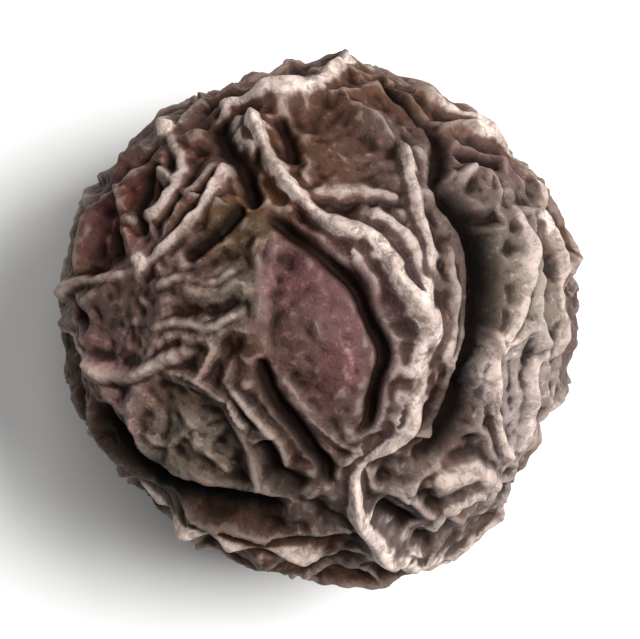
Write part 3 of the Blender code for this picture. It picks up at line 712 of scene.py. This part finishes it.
def cut_corners(run):
    """The run with each corner cut, so that it bends smoothly."""
    cut = CORNER_CUT * np.diff(run, axis=0)
    between = np.stack([run[:-1] + cut, run[1:] - cut], axis=1).reshape(-1, 3)
    return np.vstack([run[:1], between, run[-1:]])


def along_run(points, spots):
    """How far each point is from a run of spots on the photographed side, and how much of the run's height
    is left there, which falls to 0 at both ends."""
    run = cut_corners(np.array([face_direction(right, up) for right, up in spots]))
    nearest = np.full(len(points), np.inf)
    along = np.zeros(len(points))
    for k, (start, end) in enumerate(zip(run[:-1], run[1:])):
        step = end - start
        share = np.clip((points - start) @ step / (step @ step), 0.0, 1.0)
        apart = BODY_RADIUS * np.linalg.norm(points - start - share[:, None] * step, axis=1)
        closer = apart < nearest
        nearest[closer] = apart[closer]
        along[closer] = (k + share[closer]) / (len(run) - 1)
    return nearest, smooth_step(0.0, CREST_TAPER, along) * smooth_step(0.0, CREST_TAPER, 1.0 - along)


def face_relief(points):
    """The long crests and the folds of the photographed side: how high each point is on a crest and how
    pale, which is worn paleness with painted highlight, how deep it is in a fold and how dark its painted
    shade is, and how far it is from the nearest of them."""
    high, pale, deep, dark = np.zeros((4, len(points)))
    nearest = np.full(len(points), np.inf)
    if points[:, 2].max() < 0.0:
        return high, pale, deep, dark, nearest
    bent = points + CREST_WANDER * drift(points, WANDER_QUICK)
    beads = 1.0 + swell(points, LONG_BEADS)
    wide = np.exp(swell(points, LONG_SWELLS))
    for (height, paleness, width), spots in CRESTS.values():
        apart, left = along_run(bent, spots)
        across = apart / wide
        rounded = np.hypot(across, width) - width
        tall = height * beads * (LONG_CREST_END + (1.0 - LONG_CREST_END) * left)
        high = np.maximum(high, tall * np.exp(-rounded / LONG_CREST_FLANK))
        pale = np.maximum(pale, paleness * left * np.exp(-((across / width) ** 2)))
        nearest = np.minimum(nearest, apart)
    for (depth, width), spots in FOLDS.values():
        apart, left = along_run(bent, spots)
        deep = np.maximum(deep, depth * left * np.exp(-((apart / width) ** FOLD_SHAPE)))
        # How dark the fold's painted shade is; it reaches wider than the fold
        shade = min(1.0, depth / FOLD_FULL) * left * np.exp(-((apart / (FOLD_SHADE * width)) ** 2))
        dark = np.maximum(dark, shade)
        nearest = np.minimum(nearest, np.maximum(apart - width, 0.0))
    return high, pale, deep, dark, nearest


def winding_lines(points, lines):
    """Long lines on the hidden sides, from 0 beside them to 1 along their middle."""
    bend, drawn, share, where = lines
    line = ridges(points + drift(points, bend), drawn) ** 2 * patches(points, share, where)
    return line * (1.0 - smooth_step(*FACE_FROM, points[:, 2]))


def crest_strength(points):
    """How tall the crests stand, from about a third to a little over their full height."""
    strength = CREST_SHARE + swell(points, CREST_SLOW) + swell(points, CREST_QUICK)
    return np.clip(strength, *CREST_SHARE_LIMITS)


def cell_walls(points, cell):
    """How far each point is from the nearest wall of a net of cells this wide, and from its cell's
    middle."""
    to_wall = np.empty(len(points))
    to_middle = np.empty(len(points))
    for k, spot in enumerate((points * BODY_RADIUS / cell).tolist()):
        apart, seeds = noise.voronoi(spot)
        to_wall[k] = (apart[1] ** 2 - apart[0] ** 2) / (2.0 * (seeds[1] - seeds[0]).length)
        to_middle[k] = apart[0]
    return to_wall * cell, to_middle * cell


def fine_net(points):
    """A finer net of crests, from 0 between them to 1 on them, that comes and goes over the skin."""
    to_wall, _ = cell_walls(points + drift(points, FINE_BEND), FINE_CELL)
    distance = np.hypot(to_wall, FINE_CREST_TIP_RADIUS) - FINE_CREST_TIP_RADIUS
    return np.exp(-distance / FINE_CREST_FLANK) * patches(points, FINE_SHARE, FINE_PATCHES)


def pores(points):
    """Small pits, 1 at their middle, in patches."""
    _, to_middle = cell_walls(points, PORE_CELL)
    return np.exp(-((to_middle / PORE_RADIUS) ** 2)) * patches(points, PORE_SHARE, PORE_PATCHES)


def finest_relief(points, edge, nearest):
    """Pleats across the crests, then creases, pores and grain on the floors."""
    pleat = swell(edge, PLEATS) * patches(points, PLEAT_SHARE, PLEAT_PATCHES)
    pleat *= smooth_step(*PLEAT_RISE, nearest) * (1.0 - smooth_step(*PLEAT_FALL, nearest))
    crease = ridges(points + drift(points, FLOOR_BEND), FLOOR_WRINKLES)
    crease *= patches(points, FLOOR_SHARE, FLOOR_PATCHES) * smooth_step(*PLEAT_RISE, nearest)
    return pleat + FLOOR_WRINKLE_HEIGHT * crease - PORE_DEPTH * pores(points) + swell(points, GRAIN)


def net_height(points, net):
    """Crests, the trench beside each, the sunken floors and the wrinkles on them, over the body. The
    crests are given too, from 0 to 1, with the borders that they stand on, then how pale the net and
    the long crests are, which is worn paleness with painted highlight, and how dark the painted shade of
    the folds and furrows is."""
    borders = find_borders(points, net.cells)
    inside, distances = borders.inside, borders.distances
    nearest = distances.min(axis=1)

    rounded = np.sqrt(distances**2 + CREST_TIP_RADIUS**2) - CREST_TIP_RADIUS
    crest = np.exp(-rounded / net.flank[inside]).max(axis=1)
    from_crest = np.where(np.isfinite(distances), distances, 0.0) / TRENCH_FROM_CREST
    dip = net.trench[inside] * (from_crest * np.exp(1.0 - from_crest)) ** 2

    soft = -CELL_SOFTNESS * np.log(np.exp(-distances / CELL_SOFTNESS).sum(axis=1))
    floor = net.sinks[inside] * smooth_step(0.0, CELL_BLEND, np.maximum(soft, 0.0))

    wrinkle = ridges(points + drift(points, WRINKLE_BEND), WRINKLES)
    wrinkle *= patches(points, WRINKLE_SHARE, WRINKLE_PATCHES) * smooth_step(*WRINKLE_FROM_CREST, nearest)
    fine = net.fine[inside] * fine_net(points) * smooth_step(*FINE_FROM_CREST, nearest) * (1.0 - crest)

    high, pale, deep, fold, to_long = face_relief(points)
    on_face = smooth_step(*FACE_FROM, points[:, 2])
    web = (1.0 - on_face * (1.0 - smooth_step(0.0, WEB_CLEAR, to_long))) * crest_strength(points)
    web_high = CREST_HEIGHT * web * (1.0 + swell(borders.edge, BEADS)) * crest
    furrow = winding_lines(points, FURROWS)
    rib = winding_lines(points, RIBS) * (1.0 - furrow)
    height = np.maximum.reduce([web_high, high, RIB_HEIGHT * rib])
    height += WRINKLE_HEIGHT * wrinkle + FINE_CREST_HEIGHT * fine - web * dip.max(axis=1) - floor
    height -= deep + FURROW_DEPTH * furrow
    # The furrows get painted shade as the folds do, and the ribs pale tops of worn paleness with painted
    # highlight
    fold = np.maximum(fold, FURROW_SHADE * furrow)
    pale = np.maximum(pale, RIB_PALENESS * rib**2)
    mark_width = CREST_MARK_WIDTH * np.exp(swell(points, MARK_SWELLS))
    web_pale = web * patches(points, WEB_PALENESS, WEB_RUB_AND_HIGHLIGHT_PATCHES)
    web_pale *= np.exp(-((nearest / mark_width) ** 2))
    web_pale *= 1.0 - (1.0 - WEB_FACE_SHARE) * smooth_step(*FACE_FROM, points[:, 2])
    return height + finest_relief(points, borders.edge, nearest), crest, borders, (web_pale, pale, fold)


def knobs(points):
    """How high the knobs stand, and how far each point is on one, from 0 to 1."""
    height = np.zeros(len(points))
    on_knob = np.zeros(len(points))
    for right, up, reach, tall in KNOBS:
        apart = ((points - face_direction(right, up)) ** 2).sum(axis=1)
        bulge = np.exp(-apart / reach**2)
        height += tall * bulge
        on_knob = np.maximum(on_knob, bulge)
    return height, on_knob


def body_radius(points):
    """How far the smooth body reaches before its skin shrinks into crests and folds."""
    radius = BODY_RADIUS + swell(points, LUMPS)
    for right, up, reach, height in LOBES:
        apart = ((points - face_direction(right, up)) ** 2).sum(axis=1)
        radius += height * np.exp(-apart / reach**2)
    return radius


def scar_heights(points):
    """The two scars, and how much of the net is left around them, from 0 to 1."""
    tip = face_direction(*TIP_SCAR_AT)
    to_tip = BODY_RADIUS * np.linalg.norm(points - tip, axis=1)
    to_stalk = BODY_RADIUS * np.linalg.norm(points + tip, axis=1)
    to_stalk = to_stalk * (1.0 + swell(points, STALK_BEND))
    rim = np.exp(-(((to_stalk - STALK_SCAR_RADIUS) / STALK_RIM_WIDTH) ** 2))
    pit = 1.0 - smooth_step(STALK_PIT_FLOOR * STALK_SCAR_RADIUS, STALK_SCAR_RADIUS, to_stalk)
    tip_pit = np.exp(-((to_tip / TIP_SCAR_RADIUS) ** 2))
    height = STALK_RIM_HEIGHT * rim - STALK_PIT_DEPTH * pit - TIP_PIT_DEPTH * tip_pit
    clear_from, clear_to = STALK_CLEAR
    net_left = smooth_step(clear_from * STALK_SCAR_RADIUS, clear_to * STALK_SCAR_RADIUS, to_stalk)
    return height, net_left


def press_at_foot(points, body, relief):
    """The relief with its crests kept off the surface that the corn rests on, and none in the flat
    spot."""
    down = -points[:, 2]
    room = (FOOT_DEPTH - FOOT_CLEARANCE) / (BODY_STRETCH[2] * np.maximum(down, FOOT_SIDE)) - body
    relief = np.minimum(relief, np.maximum(room, 0.0))
    return relief * (1.0 - smooth_step(*FOOT_LEVEL, down))


def cell_tints(net):
    """Each cell's own colour, drawn a little lighter or darker."""
    random = np.random.default_rng(SEED)
    tints = np.empty((len(net.names), 3))
    for k, name in enumerate(net.names):
        tint = FACE_TINTS[name] if name in FACE_TINTS else HIDDEN_TINTS[random.integers(len(HIDDEN_TINTS))]
        tints[k] = np.array(TINTS[tint]) * math.exp(random.normal(0.0, TINT_SHADE))
    return tints


def blend_tints(points, borders, tints):
    """The tint at each point. Each cell's runs into its neighbours', further at some places than at
    others."""
    softness = TINT_SOFTNESS * np.exp(swell(points, TINT_RUNS))[:, None]
    shares = np.exp(-borders.distances / softness)
    shares[np.arange(len(points)), borders.inside] = 1.0
    return (shares @ tints) / shares.sum(axis=1, keepdims=True)


def skin_block(points, net, tints):
    """Where the skin lies from the body's middle, for directions on the unit sphere, then how pale each
    point is, with worn paleness and painted highlight, how much painted shade it has, and its tint."""
    height, crest, borders, (web_pale, pale, fold) = net_height(points, net)
    scars, net_left = scar_heights(points)
    knob, on_knob = knobs(points)
    body = body_radius(points)
    relief = press_at_foot(points, body, height * net_left + scars + knob)
    calm = (crest * net_left * (1.0 - smooth_step(*FOOT_LEVEL, -points[:, 2])))[:, None]
    placed = (points * (body + relief)[:, None] + calm * drift(points, LEAN)) * np.array(BODY_STRETCH)
    tint = blend_tints(points, borders, tints)
    web_pale *= np.clip(tint.mean(axis=1) / WEB_RUB_AND_HIGHLIGHT_FULL, WEB_RUB_AND_HIGHLIGHT_LEAST, 1.0)
    # Worn paleness with painted highlight on the crests, knobs and ribs, kept out of the painted shade of
    # the folds
    rub_and_highlight = np.maximum.reduce([web_pale, pale, KNOB_PALENESS * on_knob]) * (1.0 - fold)
    return placed, net_left * rub_and_highlight, fold, tint


def fine_sphere(level):
    """A sphere of small triangles, the directions of its points, and its edges."""
    mesh = bpy.data.meshes.new("skin_grid")
    sphere = bmesh.new()
    bmesh.ops.create_icosphere(sphere, subdivisions=level, radius=1.0)
    sphere.to_mesh(mesh)
    sphere.free()
    points = np.empty(3 * len(mesh.vertices))
    mesh.vertices.foreach_get("co", points)
    points = points.reshape(-1, 3)
    points /= np.linalg.norm(points, axis=1, keepdims=True)
    edges = np.empty(2 * len(mesh.edges), dtype=np.int32)
    mesh.edges.foreach_get("vertices", edges)
    return mesh, points, edges.reshape(-1, 2)


def averaged(values, edges, rounds):
    """The values, averaged with their neighbours this many times."""
    starts, ends = edges[:, 0], edges[:, 1]
    count = len(values)
    neighbours = np.bincount(starts, minlength=count) + np.bincount(ends, minlength=count)
    for _ in range(rounds):
        total = np.bincount(starts, weights=values[ends], minlength=count)
        total += np.bincount(ends, weights=values[starts], minlength=count)
        values = 0.5 * values + 0.5 * total / neighbours
    return values


def height_marks(placed, edges):
    """How far each point stands over its surroundings, near, wider and wide, from -1 to 1."""
    height = np.linalg.norm(placed / np.array(BODY_STRETCH), axis=1)
    marks = []
    for rounds, full in (FINE_MARK, EDGE_MARK, DEPTH_MARK):
        marks.append(np.clip((height - averaged(height, edges, rounds)) / full, -1.0, 1.0))
    return marks


def thin_out(mesh, triangles):
    """The mesh with this many triangles, close together on the crests and far apart on the floors."""
    grid = bpy.data.objects.new("thinning", mesh)
    bpy.context.scene.collection.objects.link(grid)
    decimate = grid.modifiers.new("Decimate", "DECIMATE")
    decimate.ratio = triangles / len(mesh.polygons)
    graph = bpy.context.evaluated_depsgraph_get()
    thinned = bpy.data.meshes.new_from_object(grid.evaluated_get(graph))
    bpy.data.objects.remove(grid)
    return thinned


def smooth_mesh(mesh):
    skin = bmesh.new()
    skin.from_mesh(mesh)
    bmesh.ops.smooth_vert(
        skin, verts=skin.verts[:], factor=SMOOTHING, use_axis_x=True, use_axis_y=True, use_axis_z=True
    )
    skin.to_mesh(mesh)
    skin.free()


def copy_marks(mesh, placed, marks):
    """Gives every point of the mesh the marks of the grid point that it lies nearest to."""
    tree = kdtree.KDTree(len(placed))
    for k, place in enumerate(placed.tolist()):
        tree.insert(place, k)
    tree.balance()
    nearest = np.array([tree.find(vertex.co)[1] for vertex in mesh.vertices])
    for name, values in marks.items():
        if values.ndim == 1:
            attribute = mesh.attributes.new(name, "FLOAT", "POINT")
            attribute.data.foreach_set("value", values[nearest].astype(np.float32))
        else:
            attribute = mesh.attributes.new(name, "FLOAT_COLOR", "POINT")
            colours = np.ones((len(nearest), 4), dtype=np.float32)
            colours[:, :3] = values[nearest]
            attribute.data.foreach_set("color", colours.ravel())


def cut_foot(mesh):
    """Cuts the flat spot and closes it, then moves the origin under the middle of the box, in metres."""
    body = bmesh.new()
    body.from_mesh(mesh)
    everything = body.verts[:] + body.edges[:] + body.faces[:]
    plane = (0.0, 0.0, -FOOT_DEPTH)
    cut = bmesh.ops.bisect_plane(
        body, geom=everything, dist=WELD, plane_co=plane, plane_no=(0.0, 0.0, -1.0), clear_outer=True
    )
    rim = [item for item in cut["geom_cut"] if isinstance(item, bmesh.types.BMEdge)]
    for edge in rim:
        for corner in edge.verts:
            corner.co.z = -FOOT_DEPTH
    bmesh.ops.contextual_create(body, geom=rim)
    low = [min(corner.co[k] for corner in body.verts) for k in range(3)]
    high = [max(corner.co[k] for corner in body.verts) for k in range(3)]
    middle = (0.5 * (low[0] + high[0]), 0.5 * (low[1] + high[1]), low[2])
    for corner in body.verts:
        corner.co = [MM * (corner.co[k] - middle[k]) for k in range(3)]
    bmesh.ops.recalc_face_normals(body, faces=body.faces[:])
    body.to_mesh(mesh)
    body.free()


def make_skin():
    net = lay_net()
    tints = cell_tints(net)
    grid, points, edges = fine_sphere(GRID_LEVEL)
    blocks = [skin_block(points[k : k + BLOCK], net, tints) for k in range(0, len(points), BLOCK)]
    # Here crest is the pale mark, worn paleness with painted highlight, and fold the painted shade of the
    # folds and furrows
    placed, crest, fold, tint = (np.concatenate(column) for column in zip(*blocks))
    fine, edge, depth = height_marks(placed, edges)
    grid.vertices.foreach_set("co", placed.ravel())
    smooth_mesh(grid)
    mesh = thin_out(grid, TRIANGLES)
    marks = {"crest": crest, "fold": fold, "fine": fine, "edge": edge, "depth": depth, "tint": tint}
    copy_marks(mesh, placed, marks)
    cut_foot(mesh)
    mesh.name = "peppercorn_skin"
    mesh.shade_smooth()
    return mesh


class Nodes:
    """Adds nodes to a material, each from the values or sockets that it takes."""

    def __init__(self, material):
        material.use_nodes = True
        self.tree = material.node_tree
        self.shader = self.tree.nodes["Principled BSDF"]

    def plug(self, socket, value):
        if isinstance(value, bpy.types.NodeSocket):
            self.tree.links.new(value, socket)
        else:
            socket.default_value = value

    def attribute(self, name):
        node = self.tree.nodes.new("ShaderNodeAttribute")
        node.attribute_name = name
        return node

    def math(self, operation, first, second=0.0):
        node = self.tree.nodes.new("ShaderNodeMath")
        node.operation = operation
        self.plug(node.inputs[0], first)
        self.plug(node.inputs[1], second)
        return node.outputs[0]

    def range(self, value, ends):
        """Maps the range between the first two ends smoothly onto the one between the last two."""
        node = self.tree.nodes.new("ShaderNodeMapRange")
        node.interpolation_type = "SMOOTHSTEP"
        sockets = ("Value", "From Min", "From Max", "To Min", "To Max")
        for name, given in zip(sockets, (value, *ends)):
            self.plug(node.inputs[name], given)
        return node.outputs["Result"]

    def noise(self, place, wave):
        node = self.tree.nodes.new("ShaderNodeTexNoise")
        self.plug(node.inputs["Vector"], place)
        for name, given in zip(("Scale", "Detail", "Roughness", "Distortion"), wave):
            node.inputs[name].default_value = given
        return node.outputs["Fac"]

    def mix(self, share, first, second, blend="MIX"):
        node = self.tree.nodes.new("ShaderNodeMix")
        node.data_type = "RGBA"
        node.blend_type = blend
        self.plug(node.inputs["Factor"], share)
        self.plug(node.inputs["A"], first)
        self.plug(node.inputs["B"], second)
        return node.outputs["Result"]

    def bump(self, height, size, normal=None):
        distance, strength = size
        node = self.tree.nodes.new("ShaderNodeBump")
        node.inputs["Distance"].default_value = distance * MM
        node.inputs["Strength"].default_value = strength
        self.plug(node.inputs["Height"], height)
        if normal is not None:
            self.plug(node.inputs["Normal"], normal)
        return node.outputs["Normal"]

    def millimetres(self):
        """The place in the object, in millimetres."""
        coordinates = self.tree.nodes.new("ShaderNodeTexCoord")
        scale = self.tree.nodes.new("ShaderNodeVectorMath")
        scale.operation = "SCALE"
        scale.inputs["Scale"].default_value = 1.0 / MM
        self.plug(scale.inputs[0], coordinates.outputs["Object"])
        return scale.outputs[0]


def skin_material():
    """Dark dried skin: mottled floors, painted shade near black in the folds and darker in the hollows,
    grooves and creases, and pale crests and knobs, worn pale and with painted highlight.
    """
    material = bpy.data.materials.new("dried_skin_looks")
    nodes = Nodes(material)
    place = nodes.millimetres()
    crest = nodes.attribute("crest").outputs["Fac"]
    fold = nodes.attribute("fold").outputs["Fac"]
    fine = nodes.attribute("fine").outputs["Fac"]
    edge = nodes.attribute("edge").outputs["Fac"]
    depth = nodes.attribute("depth").outputs["Fac"]
    tint = nodes.attribute("tint").outputs["Color"]

    broad = nodes.noise(place, BROAD_NOISE)
    blotch = nodes.noise(place, BLOTCH_NOISE)
    scurf = nodes.noise(place, SCURF_NOISE)
    fleck = nodes.noise(place, FLECK_NOISE)

    warm = nodes.mix(nodes.range(broad, WARM_SHARE), tint, WARM)
    cool = nodes.mix(nodes.range(blotch, SOOT_SHARE), warm, SOOT)
    worn = nodes.mix(nodes.range(blotch, WORN_SHARE), cool, WORN, blend="MULTIPLY")
    dotted = nodes.mix(nodes.range(fleck, SPECK_SHARE), worn, SPECK)
    dusty = nodes.mix(nodes.range(fleck, DUST_SHARE), dotted, DUST, blend="MULTIPLY")

    # Painted shade: darker where the skin lies low against its wide surroundings
    hollow_shaded = nodes.mix(nodes.range(depth, HOLLOW_SHARE), dusty, HOLLOW_SHADE)
    # Painted shade: near black in the folds and furrows
    fold_shaded = nodes.mix(nodes.range(fold, CREVICE_SHARE), hollow_shaded, CREVICE_SHADE)
    off_crest = nodes.range(crest, OFF_CREST_SHARE)
    # Painted shade: darker where the skin lies low against its wider surroundings, away from the pale
    # crests
    groove_shade_share = nodes.math("MULTIPLY", off_crest, nodes.range(edge, GROOVE_SHARE))
    groove_shaded = nodes.mix(groove_shade_share, fold_shaded, GROOVE_SHADE)
    # Painted shade: darker where the skin lies low against its near surroundings, away from the pale
    # crests
    crease = nodes.math("MULTIPLY", off_crest, nodes.range(fine, CREASE_SHARE))
    crease_shaded = nodes.mix(crease, groove_shaded, CREASE_SHADE)

    # Pale crests and knobs: worn paleness with painted highlight, only where the skin stands raised
    rubbed_and_lit = nodes.mix(broad, PALE_RUB_AND_HIGHLIGHT_PINK, PALE_RUB_AND_HIGHLIGHT_CREAM)
    stained = nodes.mix(nodes.range(scurf, STAIN_SHARE), rubbed_and_lit, STAIN)
    on_crest = nodes.math("MULTIPLY", crest, nodes.range(edge, RUB_AND_HIGHLIGHT_BY_EDGE))
    on_crest = nodes.math("MULTIPLY", on_crest, nodes.range(blotch, RUB_AND_HIGHLIGHT_BY_BLOTCH))
    crested = nodes.mix(on_crest, crease_shaded, stained)
    on_fine = nodes.range(fine, FINE_RUB_SHARE)
    on_fine = nodes.math("MULTIPLY", on_fine, nodes.range(edge, FINE_RUB_BY_EDGE))
    on_fine = nodes.math("MULTIPLY", on_fine, nodes.range(fold, FINE_RUB_BY_FOLD))
    colour = nodes.mix(on_fine, crested, FINE_RUBBED)
    nodes.plug(nodes.shader.inputs["Base Color"], colour)

    dull = nodes.range(blotch, DULLNESS)
    shinier = nodes.math("SUBTRACT", dull, nodes.math("MULTIPLY", on_crest, CREST_SHINE))
    roughness = nodes.math("ADD", shinier, nodes.math("MULTIPLY", fold, FOLD_DULLNESS))
    nodes.plug(nodes.shader.inputs["Roughness"], roughness)
    nodes.shader.inputs["Specular IOR Level"].default_value = SPECULAR_LEVEL

    coarse = nodes.bump(nodes.noise(place, COARSE_NOISE), COARSE_BUMP)
    grain = nodes.bump(nodes.noise(place, GRAIN_NOISE), GRAIN_BUMP, coarse)
    nodes.plug(nodes.shader.inputs["Normal"], grain)
    return material


def add_floor():
    mesh = bpy.data.meshes.new("floor")
    disc = bmesh.new()
    bmesh.ops.create_circle(disc, cap_ends=True, segments=FLOOR_SEGMENTS, radius=FLOOR_RADIUS)
    disc.to_mesh(mesh)
    disc.free()
    material = bpy.data.materials.new("floor")
    shader = Nodes(material).shader
    shader.inputs["Base Color"].default_value = FLOOR_COLOUR
    shader.inputs["Roughness"].default_value = FLOOR_ROUGHNESS
    mesh.materials.append(material)
    floor = bpy.data.objects.new("floor", mesh)
    bpy.context.scene.collection.objects.link(floor)


def add_lamp(name, azimuth, elevation, away, size, power):
    """A square soft light that faces the corn."""
    across, up = math.radians(azimuth), math.radians(elevation)
    direction = Vector((math.sin(across) * math.cos(up), math.cos(across) * math.cos(up), math.sin(up)))
    data = bpy.data.lights.new(name, "AREA")
    data.size = size
    data.energy = power
    lamp = bpy.data.objects.new(name, data)
    lamp.location = away * direction
    lamp.rotation_euler = direction.to_track_quat("Z", "Y").to_euler()
    lamp.visible_camera = False
    bpy.context.scene.collection.objects.link(lamp)


def add_light():
    world = bpy.data.worlds.new("studio")
    bpy.context.scene.world = world
    world.use_nodes = True
    background = world.node_tree.nodes["Background"]
    background.inputs["Color"].default_value = WORLD_COLOUR
    background.inputs["Strength"].default_value = WORLD_LIGHT
    add_lamp("key", **KEY_LAMP)
    add_lamp("top", **TOP_LAMP)
    bpy.context.scene.view_settings.view_transform = "Standard"


def add_camera():
    """Straight above, as the photograph was taken, with its top towards +Y."""
    low, high = CAD_BOX
    middle = 0.5 * (low + high)
    width = max(high.x - low.x, high.y - low.y) / FRAME_SHARE
    data = bpy.data.cameras.new("camera")
    data.sensor_width = CAMERA_SENSOR
    data.lens = CAMERA_LENS
    data.clip_start = MM
    data.clip_end = CAMERA_REACH
    camera = bpy.data.objects.new("camera", data)
    camera.location = middle + Vector((0.0, 0.0, width * CAMERA_LENS / CAMERA_SENSOR))
    bpy.context.scene.collection.objects.link(camera)
    bpy.context.scene.camera = camera


def add_skin():
    mesh = make_skin()
    mesh.materials.clear()
    mesh.materials.append(skin_material())
    skin = bpy.data.objects.new("peppercorn_skin", mesh)
    bpy.context.scene.collection.objects.link(skin)
    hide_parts(NODE)
    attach(skin, BODY)


add_camera()
add_light()
add_floor()
add_skin()
